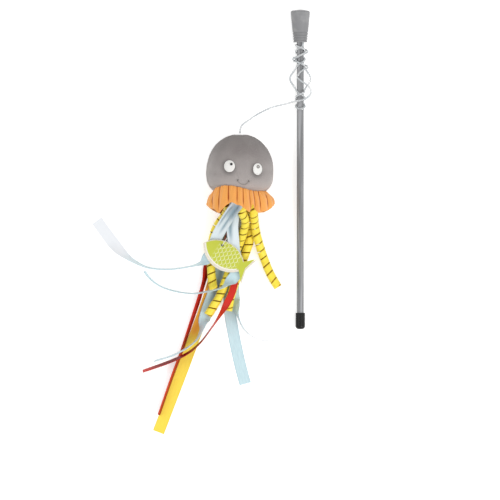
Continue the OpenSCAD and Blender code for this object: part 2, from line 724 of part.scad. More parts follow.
module curled(root, rows, len, phase) {
    yellow_cloth() skin(curl_rings(curl_route(root, rows), len, phase));
}
module curled_ribbon_1() {
    curled([0.74, 0, 0], [
        [253.8, 212, 2.5, 0], [255.2, 226, 1.3, 0], [257.8, 238, 1.06, 0], [261, 249, 0.62, 0], [264.5, 259, 0.42, 0],
        [270.3, 273, 0.42, 0], [277.8, 286, 0.42, 0], [284, 296, 0.42, 0]
    ], curl_1_len, 0);
}
module curled_ribbon_2() {
    curled([0.46, 0.55, 0], [
        [245.5, 210, 3, 0], [245, 222, 1.95, 0], [241.4, 238, 0.8, 0], [237, 249, 0.58, 0],
        [231.5, 263, 0.57, 0], [226, 280, 0.57, 0], [219.3, 296, 0.57, 0], [206.5, 317, 0.57, 0],
        [200, 327, 0.57, 0]
    ], curl_2_len, 90);
}
module curled_ribbon_3() {
    curled([-0.67, 0.08, 0], [
        [226.6, 212, 1.92, 0], [217.5, 225, 0.87, 0], [212.5, 240, 0.58, 0], [211.5, 256, 0.57, 0],
        [211.5, 272, 0.57, 0], [213.5, 288, 0.57, 0], [215, 298, 0.57, 0]
    ], curl_3_len, 180);
}
module curled_ribbon_4() {
    curled([0.3, -0.42, 0], [
        [248.4, 212, 1.3, 0], [250.2, 227, 0.6, 0], [250.2, 238, 0.57, 0], [247.4, 248, 0.56, 0], [241.5, 264, 0.55, 0],
        [236, 280, 0.55, 0], [231, 295, 0.55, 0], [228.6, 308, 0.55, 0], [227, 319, 0.55, 0]
    ], curl_4_len, 270);
}

// Fish tag: a lens-shaped body and a forked tail, drawn from the nose along X
tag_px = 222.5;
tag_py = 244.5;
tag_turn = -32.8;
tag_hole_share = [0.321, 0.151];
tag_x = head_x + (tag_px - seat_px) * photo_mm;
tag_y = seat_face_y + (seat_py - tag_py) * photo_mm;
// Half of the body's outline: an arc from the nose to where the tail starts
function body_arc(inset) = let(
        half_len = tag_len * 0.45 - inset,
        half_h = tag_h / 2 - inset,
        r = (half_len * half_len + half_h * half_h) / (2 * half_h),
        reach = asin(half_len / r))
    [for (f = [0 : 0.1 : 0.9]) let(a = reach * (2 * f - 1))
        [tag_len * 0.45 + r * sin(a), r * cos(a) - r + half_h]];
module fish_outline(inset) {
    top = body_arc(inset);
    tip_x = tag_len - 1.4 * inset;
    tip_y = tag_tail_h / 2 - 1.2 * inset;
    polygon(concat(
        top, [[tip_x, tip_y], [tag_len * 0.93 - inset, 0], [tip_x, -tip_y]],
        [for (i = [len(top) - 1 : -1 : 1]) [top[i][0], -top[i][1]]]
    ));
}
module on_tag() {
    translate([tag_x, tag_y, tag_height]) rotate([0, 0, tag_turn])
        translate([-tag_hole_share[0] * tag_len, -tag_hole_share[1] * tag_len, 0]) children();
}
module tag_hole() {
    translate([tag_hole_share[0] * tag_len, tag_hole_share[1] * tag_len, -overrun])
        cylinder(d = tag_hole_d, h = tag_t + tag_face_t + 2 * overrun, $fn = 32);
}
module fish_tag() {
    color("#f7f8ef") on_tag() difference() {
        linear_extrude(tag_t) fish_outline(0);
        tag_hole();
    }
}
module tag_face() {
    color("#c3d63a") on_tag() difference() {
        translate([0, tag_print_shift, tag_t]) linear_extrude(tag_face_t) fish_outline(tag_border);
        tag_hole();
    }
}

// Loop of thread: an upright ring with straight legs, through the tag's hole
module loop_half() {
    rotate([90, 0, 0]) rotate_extrude(angle = 180, $fn = 48)
        translate([loop_w / 2, 0]) circle(d = loop_d, $fn = 16);
}
module tag_loop() {
    leg_bottom = tag_height - loop_below + loop_w / 2;
    leg_top = tag_height + 2 * tag_t;
    color("#f2f2ec") translate([tag_x, tag_y, 0]) rotate([0, 0, tag_turn + 90])
        translate([loop_w / 2, 0, 0]) {
            translate([0, 0, leg_top]) loop_half();
            translate([0, 0, leg_bottom]) mirror([0, 0, 1]) loop_half();
            for (side = [-1, 1])
                translate([side * loop_w / 2, 0, leg_bottom])
                    cylinder(d = loop_d, h = leg_top - leg_bottom, $fn = 16);
        }
}

wand_rod();
grip_knob();
end_cap();
cord_winding();
cord_run();
cord_knot();
head_front();
head_back();
stuffing();
catnip_pouch();
left_eye();
right_eye();
left_pupil();
right_pupil();
smile_stitch();
ruffle();
ribbon_seat();
blue_ribbon_1();
blue_ribbon_2();
blue_ribbon_3();
blue_ribbon_4();
blue_ribbon_5();
red_ribbon_1();
red_ribbon_2();
yellow_ribbon();
curled_ribbon_1();
curled_ribbon_2();
curled_ribbon_3();
curled_ribbon_4();
tag_loop();
fish_tag();
tag_face();
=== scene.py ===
"""Cat teaser wand: a rod with a grip knob, an elastic cord and a plush octopus lure.

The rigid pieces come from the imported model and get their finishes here. The cord,
the plush head, its face, the ruffle, the ribbons, the curls and the tag's loop are
modelled here, each in the place that its solid holds. Lengths inside the classes
are millimetres in the model's frame, and a mesh is scaled to metres once.
"""

import logging
import math
from dataclasses import dataclass, field, replace
from enum import Enum
from typing import Mapping, Sequence

import bmesh
import bpy
import numpy as np
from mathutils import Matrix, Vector

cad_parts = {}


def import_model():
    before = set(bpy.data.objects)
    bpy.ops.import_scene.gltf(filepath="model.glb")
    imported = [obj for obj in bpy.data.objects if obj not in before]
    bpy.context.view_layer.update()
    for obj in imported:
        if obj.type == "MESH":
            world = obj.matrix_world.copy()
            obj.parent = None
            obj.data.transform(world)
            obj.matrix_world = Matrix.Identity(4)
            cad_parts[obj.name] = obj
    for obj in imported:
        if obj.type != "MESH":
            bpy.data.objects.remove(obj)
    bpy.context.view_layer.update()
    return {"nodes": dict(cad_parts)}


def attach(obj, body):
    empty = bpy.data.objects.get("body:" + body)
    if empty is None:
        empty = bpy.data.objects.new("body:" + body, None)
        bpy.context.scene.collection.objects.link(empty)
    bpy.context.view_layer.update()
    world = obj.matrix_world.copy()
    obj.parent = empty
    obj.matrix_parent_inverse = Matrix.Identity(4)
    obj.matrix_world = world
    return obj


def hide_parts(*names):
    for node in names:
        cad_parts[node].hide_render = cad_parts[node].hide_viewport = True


MM = 0.001
LOG = logging.getLogger("wand")
UP = np.array([0, 0, 1.0])
Array = np.ndarray
Rows = Sequence[Sequence[float]]


class Body(str, Enum):
    """The moving bodies that a piece can ride on."""

    WAND = "wand"
    KNOT = "knot"
    LURE = "lure"
    TAG = "tag"


class Pass(Enum):
    """The three passes of the winding, by how they meet the strands below."""

    UNDER = "under"
    OVER = "over"
    LAST = "last"


# Shader nodes and finishes.


class Kind(Enum):
    """The kinds of shader node used here.

    Each has its type, the settings that it always has, its inputs in the order in
    which add_node takes them, and the output that is read.
    """

    PLACE = ("ShaderNodeTexCoord", {}, (), "Object")
    ATTRIBUTE = ("ShaderNodeAttribute", {}, (), "Fac")
    RAYS = ("ShaderNodeLightPath", {}, (), "Is Camera Ray")
    MAPPING = ("ShaderNodeMapping", {}, ("Vector", "Scale", "Location", "Rotation"), 0)
    SPLIT = ("ShaderNodeSeparateXYZ", {}, ("Vector",), 0)
    NOISE = ("ShaderNodeTexNoise", {}, ("Vector", "Scale", "Detail", "Roughness"), 0)
    WAVE = ("ShaderNodeTexWave", {},
            ("Vector", "Scale", "Distortion", "Detail", "Detail Scale"), "Fac")
    SPREAD = ("ShaderNodeMapRange", {"interpolation_type": "SMOOTHSTEP"},
              ("Value", "From Min", "From Max", "To Min", "To Max"), 0)
    MIX = ("ShaderNodeMix", {"data_type": "RGBA"}, (0, 6, 7), 2)
    MATH = ("ShaderNodeMath", {}, (0, 1, 2), 0)
    VECTOR_MATH = ("ShaderNodeVectorMath", {}, (0, 1), 0)
    BUMP = ("ShaderNodeBump", {}, ("Height", "Distance", "Strength"), 0)
    SURFACE = ("ShaderNodeBsdfPrincipled", {}, ("Base Color", "Roughness", "IOR"), 0)
    SURFACE_OUTPUT = ("ShaderNodeOutputMaterial", {}, ("Surface",), None)
    SKY = ("ShaderNodeBackground", {}, ("Color", "Strength"), 0)
    SKY_OUTPUT = ("ShaderNodeOutputWorld", {}, ("Surface",), None)


def linear(colour: str) -> tuple[float, float, float, float]:
    """Turns an sRGB hex colour into the linear values that a socket takes.

    Args:
        colour: the colour as "#rrggbb".

    Returns:
        Linear red, green and blue, and an alpha of 1.
    """
    parts = [int(colour[i:i + 2], 16) / 255 for i in (1, 3, 5)]
    red, green, blue = (
        c / 12.92 if c <= 0.04045 else ((c + 0.055) / 1.055) ** 2.4 for c in parts)
    return red, green, blue, 1.0


def plug(socket: bpy.types.NodeSocket, value: object) -> None:
    """Links an output to an input, or writes a value or a hex colour to it.

    Args:
        socket: the input.
        value: an output, a value or a colour as "#rrggbb".
    """
    if isinstance(value, bpy.types.NodeSocket):
        socket.id_data.links.new(value, socket)
    else:
        socket.default_value = linear(value) if isinstance(value, str) else value


def add_node(tree: bpy.types.NodeTree, kind: Kind, *inputs: object,
             output: str | None = None, **settings: object) -> bpy.types.NodeSocket | None:
    """Adds one node, with its settings, and its inputs written or linked.

    Args:
        tree: the node tree that gets the node.
        kind: the kind of node.
        inputs: what goes into the kind's inputs, in their order. An input that is
            left out keeps the node's own value.
        output: the output that is read, where it isn't the kind's usual one.
        settings: names and values of the node's own properties.

    Returns:
        The output that is read, or none where the node has no output.
    """
    type_name, always, names, usual = kind.value
    node = tree.nodes.new(type_name)
    for name, value in {**always, **settings}.items():
        setattr(node, name, value)
    for name, value in zip(names, inputs):
        plug(node.inputs[name], value)
    wanted = usual if output is None else output
    return None if wanted is None else node.outputs[wanted]


def background_rays(tree: bpy.types.NodeTree) -> bpy.types.NodeSocket:
    """Gives 1 for a ray that shows a background: to the camera, in a gloss or through.

    Args:
        tree: the node tree that gets the nodes.

    Returns:
        The output with the greatest of the three kinds of ray.
    """
    seen = add_node(tree, Kind.RAYS)
    rays = seen.node.outputs
    for name in ("Is Glossy Ray", "Is Transmission Ray"):
        seen = add_node(tree, Kind.MATH, seen, rays[name], operation="MAXIMUM")
    return seen


def grain(size_mm: float, per_metre: bool = True) -> float:
    """Gives the scale of a pattern whose features are size_mm across."""
    return (1000.0 if per_metre else 1.0) / size_mm


def bands(size_mm: float, per_metre: bool = True) -> float:
    """Gives the scale of a wave pattern whose bands and gaps are size_mm wide."""
    return grain(size_mm, per_metre) / 20 * math.pi


@dataclass(frozen=True)
class Finish:
    """A surface: its name, colour and how rough it is. Subclasses add the detail."""

    name: str
    colour: str
    roughness: float = 0.5
    ior: float = 1.5

    def material(self) -> bpy.types.Material:
        """Builds the material, or finds it if it was built before.

        Returns:
            The finish's one material.
        """
        made = bpy.data.materials.get(self.name)
        if made:
            return made
        made = bpy.data.materials.new(self.name)
        made.use_nodes = True
        made.diffuse_color = linear(self.colour)
        tree = made.node_tree
        tree.nodes.clear()
        surface = add_node(tree, Kind.SURFACE, self.colour, self.roughness, self.ior)
        for name, value in self.dress(tree).items():
            plug(surface.node.inputs[name], value)
        add_node(tree, Kind.SURFACE_OUTPUT, surface)
        return made

    def dress(self, tree: bpy.types.NodeTree) -> dict[str, object]:
        """Gives what goes into the shader's inputs: nothing more on a plain finish."""
        return {}


@dataclass(frozen=True)
class MouldedRubber(Finish):
    """Thermoplastic rubber from a spark-finished mould: matt, fine even grain."""

    grain_mm: float = 0.35
    scuff: str = "#9a9a9b"

    def dress(self, tree: bpy.types.NodeTree) -> dict[str, object]:
        """Adds the mould's grain, faint handling marks and a soft sheen.

        The grain is drawn at 0.35 mm, as a real one of 0.1 mm would not show.

        Args:
            tree: the material's node tree.

        Returns:
            What goes into the shader's inputs, by name.
        """
        at = add_node(tree, Kind.PLACE)
        marks = add_node(tree, Kind.NOISE, at, grain(9), 4)
        wear = add_node(tree, Kind.SPREAD, marks, 0.45, 0.75)
        polish = add_node(tree, Kind.NOISE, at, grain(4), 2)
        spark = add_node(tree, Kind.NOISE, at, grain(self.grain_mm), 2)
        return {"Base Color": add_node(tree, Kind.MIX, wear, self.colour, self.scuff),
                "Roughness": add_node(tree, Kind.SPREAD, polish, 0.3, 0.7, 0.46, 0.6),
                "Normal": add_node(tree, Kind.BUMP, spark, 0.05 * MM, 0.6)}


@dataclass(frozen=True)
class PultrudedRod(Finish):
    """Pultruded glass-fibre rod: fibre streaks along its length under a satin skin."""

    streak: str = "#6f7072"
    light: str = "#a9aaad"
    drawn_out: float = 60.0

    def dress(self, tree: bpy.types.NodeTree) -> dict[str, object]:
        """Adds lengthwise streaks: a noise that is drawn out along the rod.

        Args:
            tree: the material's node tree.

        Returns:
            What goes into the shader's inputs, by name.
        """
        long = add_node(tree, Kind.MAPPING, add_node(tree, Kind.PLACE),
                        (1.0, 1 / self.drawn_out, 1.0))
        fine = add_node(tree, Kind.NOISE, long, grain(0.7), 4, 0.6)
        broad = add_node(tree, Kind.NOISE, long, grain(2.6), 2)
        streaks = add_node(tree, Kind.SPREAD, fine, 0.38, 0.66)
        lights = add_node(tree, Kind.SPREAD, broad, 0.5, 0.75)
        tone = add_node(tree, Kind.MIX, streaks, self.streak, self.colour)
        return {"Base Color": add_node(tree, Kind.MIX, lights, tone, self.light),
                "Coat Weight": 0.35, "Coat Roughness": 0.2,
                "Normal": add_node(tree, Kind.BUMP, fine, 0.04 * MM, 0.5)}


@dataclass(frozen=True)
class DippedVinyl(Finish):
    """Soft vinyl, dip moulded: black and glossy, with the slight waves of the dip."""

    def dress(self, tree: bpy.types.NodeTree) -> dict[str, object]:
        """Adds slow waves and fine dust-like roughness.

        Args:
            tree: the material's node tree.

        Returns:
            What goes into the shader's inputs, by name.
        """
        at = add_node(tree, Kind.PLACE)
        dust = add_node(tree, Kind.NOISE, at, grain(1.2), 4)
        waves = add_node(tree, Kind.NOISE, at, grain(5), 1)
        return {"Roughness": add_node(tree, Kind.SPREAD, dust, 0.35, 0.8, 0.24, 0.4),
                "Specular IOR Level": 0.25,
                "Normal": add_node(tree, Kind.BUMP, waves, 0.25 * MM, 0.5)}


@dataclass(frozen=True)
class ClearElastic(Finish):
    """Drawn polyurethane cord: clear with a milky core, glossy, faint draw lines."""

    milk: str = "#ffffff"

    def dress(self, tree: bpy.types.NodeTree) -> dict[str, object]:
        """Makes the cord part see-through, with cloudy stretches along it.

        Args:
            tree: the material's node tree.

        Returns:
            What goes into the shader's inputs, by name.
        """
        cloud = add_node(tree, Kind.NOISE, add_node(tree, Kind.PLACE), grain(9), 2)
        milky = add_node(tree, Kind.SPREAD, cloud, 0.3, 0.75, 0.1, 0.7)
        along = add_node(tree, Kind.MAPPING, add_node(tree, Kind.PLACE, output="UV"),
                         (1.0, 0.05, 1.0))
        lines = add_node(tree, Kind.NOISE, along, grain(0.4, False), 2)
        return {"Base Color": add_node(tree, Kind.MIX, milky, self.colour, self.milk),
                "Transmission Weight": 0.45, "Coat Weight": 0.6, "Coat Roughness": 0.08,
                "Normal": add_node(tree, Kind.BUMP, lines, 0.02 * MM, 0.5)}


@dataclass(frozen=True)
class ShortPile(Finish):
    """Brushed polyester plush: dense short pile, dark at its roots, light at its tips."""

    root: str = "#7e7775"
    tip: str = "#c2bbb8"
    # Painted light: the lighter colour that the plush takes towards the ruffle.
    laid: str = "#c5bebb"
    # Painted sheen: the pale colour on the plush's lower sides.
    painted_rim_sheen: str = "#efe9e5"
    pile_mm: float = 0.55
    # Where the painted light runs from dark at the top to light below, and how it tilts across the
    # head.
    dark_y: float = 76.0
    light_y: float = 32.0
    tilt: float = 0.15
    # Heights over which the painted sheen on the lower sides comes in.
    painted_sheen_z: tuple[float, float] = (50.0, 32.0)

    def dress(self, tree: bpy.types.NodeTree) -> dict[str, object]:
        """Adds brushed patches, pile clumps, a sheen and the tips' lighter colour.

        Painted light lightens the plush towards the ruffle and the lower left, most
        at the sides with a painted sheen, and leaves the top dark; painted shade
        darkens it round the embroidery.

        Args:
            tree: the material's node tree.

        Returns:
            What goes into the shader's inputs, by name.
        """
        at = add_node(tree, Kind.PLACE)
        brush = add_node(tree, Kind.NOISE, at, grain(11), 3)
        patch = add_node(tree, Kind.SPREAD, brush, 0.35, 0.7)
        clump = add_node(tree, Kind.NOISE, at, grain(self.pile_mm), 3, 0.6)
        open_pile = add_node(tree, Kind.SPREAD, clump, 0.3, 0.68)
        base = add_node(tree, Kind.MIX, open_pile, self.root, self.colour)
        tip = add_node(tree, Kind.ATTRIBUTE, attribute_name="tip")
        lit = add_node(tree, Kind.MIX, tip, base, self.tip)
        faint = add_node(tree, Kind.SPREAD, patch, 0, 1, 0, 0.16)
        shade = add_node(tree, Kind.MIX, faint, lit, self.tip)
        x, y, z = add_node(tree, Kind.SPLIT, at).node.outputs
        # Painted light: lighter towards the ruffle and the lower left, dark at the top.
        along = add_node(tree, Kind.MATH, x, self.tilt, y, operation="MULTIPLY_ADD")
        painted_light_share = add_node(tree, Kind.SPREAD, along, self.dark_y * MM, self.light_y * MM, 0.0, 0.9)
        # Painted sheen on the lower sides, strongest towards the ruffle.
        side = add_node(tree, Kind.SPREAD, z, self.painted_sheen_z[0] * MM, self.painted_sheen_z[1] * MM,
                        0.0, 0.6)
        rim = add_node(tree, Kind.MATH, painted_light_share, side, operation="MULTIPLY")
        laid = add_node(tree, Kind.MIX, painted_light_share, shade, self.laid)
        painted_light_and_sheen = add_node(tree, Kind.MIX, rim, laid, self.painted_rim_sheen)
        # Painted shade round the eyes, in the roots' colour.
        sunk = add_node(tree, Kind.ATTRIBUTE, attribute_name="sunk")
        return {"Base Color": add_node(tree, Kind.MIX, sunk, painted_light_and_sheen, self.root),
                "Sheen Weight": 0.5, "Sheen Roughness": 0.55, "Specular IOR Level": 0.2,
                "Normal": add_node(tree, Kind.BUMP, clump, 0.45 * MM, 0.55)}


@dataclass(frozen=True)
class RuffleFleece(Finish):
    """Knitted polyester fleece: soft, low pile, with painted shade where the pleats fold in and on
    its inner face.
    """

    # Painted shade in the pleats' folds.
    fold: str = "#b04f08"
    # Painted shade on the skirt's inner face.
    inner_face_shade: str = "#9a3c10"

    def dress(self, tree: bpy.types.NodeTree) -> dict[str, object]:
        """Paints shade into the folds by the pleat attribute and onto the inner face, and adds the
        knit's low fuzz.

        Args:
            tree: the material's node tree.

        Returns:
            What goes into the shader's inputs, by name.
        """
        fold = add_node(tree, Kind.ATTRIBUTE, attribute_name="fold")
        inner = add_node(tree, Kind.ATTRIBUTE, attribute_name="inner")
        fuzz = add_node(tree, Kind.NOISE, add_node(tree, Kind.PLACE), grain(0.5), 3, 0.6)
        # Painted shade in the folds.
        painted_fold_shade = add_node(tree, Kind.SPREAD, fold, 0.3, 0.95)
        deep = add_node(tree, Kind.MIX, painted_fold_shade, self.colour, self.fold)
        fuzzy = add_node(tree, Kind.SPREAD, fuzz, 0.3, 0.72, 0.16, 0.0)
        tone = add_node(tree, Kind.MIX, fuzzy, deep, self.fold)
        # Painted shade on the inner face.
        painted_inner_shade = add_node(tree, Kind.SPREAD, inner, 0, 1, 0, 0.6)
        return {"Base Color": add_node(tree, Kind.MIX, painted_inner_shade, tone, self.inner_face_shade),
                "Sheen Weight": 0.35, "Sheen Roughness": 0.5, "Specular IOR Level": 0.25,
                "Normal": add_node(tree, Kind.BUMP, fuzz, 0.22 * MM, 0.6)}


@dataclass(frozen=True)
class SatinWeave(Finish):
    """Woven polyester satin ribbon: long floats that shine across, firm selvedges."""

    shade: str = "#8fa6b1"
    # Painted shade in creases and on shaded stretches.
    crease: str = "#8aa3b0"
    # Painted sheen.
    pale: str = "#eceff3"
    half_width_mm: float = 5.0
    thread_mm: float = 0.45
    shine: float = 0.55
    sheen: float = 0.25
    gleam: float = 0.4

    def dress(self, tree: bpy.types.NodeTree) -> dict[str, object]:
        """Adds the floats, the selvedge bands, painted shade in the creases and on shaded
        stretches, a painted sheen and a cross shine.

        The thread is drawn at 0.45 mm, as a real one of 0.1 mm would not show.

        Args:
            tree: the material's node tree.

        Returns:
            What goes into the shader's inputs, by name.
        """
        at = add_node(tree, Kind.PLACE, output="UV")
        from_middle = add_node(tree, Kind.SPLIT, at)
        weft = add_node(tree, Kind.WAVE, at, bands(self.thread_mm, False), 1.2, 1.0,
                        bands_direction="Y")
        drawn = add_node(tree, Kind.MAPPING, at, (1.0, 0.08, 1.0))
        floats = add_node(tree, Kind.NOISE, drawn, grain(0.6, False), 3)
        across = add_node(tree, Kind.MATH, from_middle, operation="ABSOLUTE")
        edge = add_node(tree, Kind.SPREAD, across, self.half_width_mm - 0.9,
                        self.half_width_mm - 0.4)
        gaps = add_node(tree, Kind.SPREAD, floats, 0.3, 0.7, 0.22, 0.0)
        tone = add_node(tree, Kind.MIX, gaps, self.colour, self.shade)
        selvedge = add_node(tree, Kind.SPREAD, edge, 0, 1, 0, 0.28)
        tone = add_node(tree, Kind.MIX, selvedge, tone, self.shade)
        # Painted sheen, then painted shade in the creases and on shaded stretches.
        for name, colour in (("pale", self.pale), ("crease", self.crease)):
            share = add_node(tree, Kind.ATTRIBUTE, attribute_name=name)
            tone = add_node(tree, Kind.MIX, share, tone, colour)
        return {"Base Color": tone,
                "Roughness": add_node(tree, Kind.SPREAD, floats, 0.25, 0.75,
                                      self.roughness - 0.07, self.roughness + 0.1),
                "Anisotropic": self.shine, "Sheen Weight": self.sheen,
                "Sheen Roughness": 0.4, "Specular IOR Level": self.gleam,
                "Normal": add_node(tree, Kind.BUMP, weft, 0.03 * MM, 0.5)}


@dataclass(frozen=True)
class CurlingRibbon(Finish):
    """Ribbed polypropylene curling ribbon: glossy, with fine ribs along the strip."""

    # Darker stretched spots, and painted shade on the inner face.
    shade: str = "#e3b12a"
    rib_mm: float = 0.7

    def dress(self, tree: bpy.types.NodeTree) -> dict[str, object]:
        """Adds the pressed ribs, darker stretched spots, painted shade on the inner face and an
        even soft gloss.

        The ribs are drawn at 0.7 mm, as real ones of 0.3 mm would not show.

        Args:
            tree: the material's node tree.

        Returns:
            What goes into the shader's inputs, by name.
        """
        at = add_node(tree, Kind.PLACE, output="UV")
        ribs = add_node(tree, Kind.WAVE, at, bands(self.rib_mm, False), bands_direction="X")
        drawn = add_node(tree, Kind.MAPPING, at, (1.0, 0.15, 1.0))
        stress = add_node(tree, Kind.NOISE, drawn, grain(1.5, False), 3)
        stretched = add_node(tree, Kind.SPREAD, stress, 0.35, 0.75, 0.0, 0.18)
        tone = add_node(tree, Kind.MIX, stretched, self.colour, self.shade)
        # Painted shade on the strip's inner face.
        inner = add_node(tree, Kind.ATTRIBUTE, attribute_name="inner")
        painted_inner_shade = add_node(tree, Kind.SPREAD, inner, 0, 1, 0, 0.85)
        return {"Base Color": add_node(tree, Kind.MIX, painted_inner_shade, tone, self.shade),
                "Sheen Weight": 0.15, "Specular IOR Level": 0.35,
                "Normal": add_node(tree, Kind.BUMP, ribs, 0.05 * MM, 0.6)}


@dataclass(frozen=True)
class EmbroideryThread(Finish):
    """Rayon embroidery thread laid side by side: bright, with a silky sheen."""

    # Painted shade between the laid threads.
    groove: str = "#bdbab6"
    thread_mm: float = 0.42

    def dress(self, tree: bpy.types.NodeTree) -> dict[str, object]:
        """Adds the laid threads as ribs on the piece's own map, painted shade in the grooves
        between them, and a sheen.

        Args:
            tree: the material's node tree.

        Returns:
            What goes into the shader's inputs, by name.
        """
        laid = add_node(tree, Kind.WAVE, add_node(tree, Kind.PLACE, output="UV"),
                        bands(self.thread_mm, False), 1.6, 2.0, 1.5, bands_direction="X")
        # Painted shade in the grooves between the threads.
        on_top = add_node(tree, Kind.SPREAD, laid, 0.05, 0.55)
        return {"Base Color": add_node(tree, Kind.MIX, on_top, self.groove, self.colour),
                "Sheen Weight": 0.4, "Sheen Roughness": 0.35,
                "Normal": add_node(tree, Kind.BUMP, laid, 0.12 * MM, 0.8)}


@dataclass(frozen=True)
class WovenCloth(Finish):
    """Plain woven cloth: over-and-under threads, matt."""

    shade: str = "#6f6967"
    thread_mm: float = 0.6

    def dress(self, tree: bpy.types.NodeTree) -> dict[str, object]:
        """Crosses two sets of threads on Object coordinates, height by height.

        They are drawn coarser than real ones of 0.2 mm, which would not show.

        Args:
            tree: the material's node tree.

        Returns:
            What goes into the shader's inputs, by name.
        """
        at = add_node(tree, Kind.PLACE)
        warp, weft = (add_node(tree, Kind.WAVE, at, bands(self.thread_mm), 0.6,
                               bands_direction=way) for way in "XZ")
        weave = add_node(tree, Kind.MATH, warp, weft, operation="MULTIPLY")
        on_top = add_node(tree, Kind.SPREAD, weave, 0, 0.7)
        return {"Base Color": add_node(tree, Kind.MIX, on_top, self.shade, self.colour),
                "Normal": add_node(tree, Kind.BUMP, weave, 0.15 * MM, 0.7)}


@dataclass(frozen=True)
class Wadding(Finish):
    """Loose polyester fibre filling: white, matt, in soft tufts."""

    shade: str = "#d9d8d0"

    def dress(self, tree: bpy.types.NodeTree) -> dict[str, object]:
        """Adds the tufts and strands of the filling.

        Args:
            tree: the material's node tree.

        Returns:
            What goes into the shader's inputs, by name.
        """
        tuft = add_node(tree, Kind.NOISE, add_node(tree, Kind.PLACE), grain(2.5), 5, 0.65)
        on_top = add_node(tree, Kind.SPREAD, tuft, 0.3, 0.7)
        return {"Base Color": add_node(tree, Kind.MIX, on_top, self.shade, self.colour),
                "Normal": add_node(tree, Kind.BUMP, tuft, 0.8 * MM, 0.8)}


@dataclass(frozen=True)
class CoatedCard(Finish):
    """White coated card: smooth, with faint paper fibres."""

    shade: str = "#e2e3d6"

    def dress(self, tree: bpy.types.NodeTree) -> dict[str, object]:
        """Adds the paper's fibres as a tone and bump, drawn coarser than they are.

        Args:
            tree: the material's node tree.

        Returns:
            What goes into the shader's inputs, by name.
        """
        fibre = add_node(tree, Kind.NOISE, add_node(tree, Kind.PLACE), grain(0.8), 4, 0.6)
        on_top = add_node(tree, Kind.SPREAD, fibre, 0.35, 0.7)
        return {"Base Color": add_node(tree, Kind.MIX, on_top, self.shade, self.colour),
                "Normal": add_node(tree, Kind.BUMP, fibre, 0.03 * MM, 0.5)}


@dataclass(frozen=True)
class ScalePrint(Finish):
    """Offset print under a clear varnish: green, with rows of plain scale arcs.

    Lengths along the fish, as where its scales start and end, are counted in
    scales from its nose.
    """

    ink: str = "#f1f4c8"
    deep: str = "#b2b622"
    paper: str = "#f3efe4"
    belly_mm: tuple[float, float, float] = (21.15, 13.35, 0.0)
    belly_r_mm: float = 23.4
    bare_mm: float = 1.1
    scale_mm: float = 4.4
    rows_per_scale: float = 1.7
    arc_height: float = 0.9
    turn_deg: float = -32.8
    nose_mm: tuple[float, float] = (0.0, 0.0)

    def dress(self, tree: bpy.types.NodeTree) -> dict[str, object]:
        """Draws staggered rings, one row over the next, fading towards the nose.

        In each cell of a brick-like lattice the line is where the share of the
        cell's length is close to 0.9 times the height of a half circle. The
        print stops short of the belly's edge, where the card stays bare.

        Args:
            tree: the material's node tree.

        Returns:
            What goes into the shader's inputs, by name.
        """
        at = add_node(tree, Kind.PLACE)
        shift = add_node(tree, Kind.MAPPING, at, (self.scale_mm * MM,) * 3,
                         (self.nose_mm[0] * MM, self.nose_mm[1] * MM, 0.0),
                         (0.0, 0.0, math.radians(self.turn_deg)), vector_type="TEXTURE")
        along, across, _ = add_node(tree, Kind.SPLIT, shift).node.outputs
        found = {"along": along, "across": across}
        for name, operation, values in (
                ("rows", "MULTIPLY", ("along", self.rows_per_scale)),
                ("row", "FLOOR", ("rows",)),
                ("odd", "FLOORED_MODULO", ("row", 2.0)),
                ("stagger", "MULTIPLY", ("odd", 0.5)),
                ("from_x", "FRACT", ("rows",)),
                ("moved", "ADD", ("across", "stagger")),
                ("cell", "FRACT", ("moved",)),
                ("from_y", "SUBTRACT", ("cell", 0.5)),
                ("square", "MULTIPLY", ("from_y", "from_y")),
                ("full_square", "MULTIPLY", ("square", 4.0)),
                ("rest", "SUBTRACT", (1.0, "full_square")),
                ("half_circle", "SQRT", ("rest",)),
                ("arc", "MULTIPLY", ("half_circle", self.arc_height)),
                ("miss", "SUBTRACT", ("from_x", "arc")),
                ("off", "ABSOLUTE", ("miss",))):
            found[name] = add_node(tree, Kind.MATH, *(found.get(v, v) for v in values),
                                   operation=operation)
        line = add_node(tree, Kind.SPREAD, found["off"], 0.07, 0.16, 0.85, 0.0)
        past_nose = add_node(tree, Kind.SPREAD, along, 2.6, 3.2)
        before_tail = add_node(tree, Kind.SPREAD, along, 8.2, 7.6)
        on_body = add_node(tree, Kind.MATH, past_nose, before_tail, operation="MULTIPLY")
        drawn = add_node(tree, Kind.MATH, line, on_body, operation="MULTIPLY")
        tone = add_node(tree, Kind.NOISE, at, grain(6), 2)
        cloudy = add_node(tree, Kind.SPREAD, tone, 0.35, 0.7, 0.0, 0.2)
        base = add_node(tree, Kind.MIX, cloudy, self.colour, self.deep)
        printed = add_node(tree, Kind.MIX, drawn, base, self.ink)
        flat = add_node(tree, Kind.VECTOR_MATH, shift, (1.0, 1.0, 0.0), operation="MULTIPLY")
        out = add_node(tree, Kind.VECTOR_MATH, flat,
                       tuple(v / self.scale_mm for v in self.belly_mm),
                       operation="DISTANCE", output="Value")
        edge = (self.belly_r_mm - self.bare_mm) / self.scale_mm
        past_edge = add_node(tree, Kind.SPREAD, out, edge - 0.02, edge + 0.02)
        off_tail = add_node(tree, Kind.SPREAD, along, 8.4, 8.2)
        bare = add_node(tree, Kind.MATH, past_edge, off_tail, operation="MULTIPLY")
        return {"Base Color": add_node(tree, Kind.MIX, bare, printed, self.paper),
                "Coat Weight": 0.3, "Coat Roughness": 0.25}


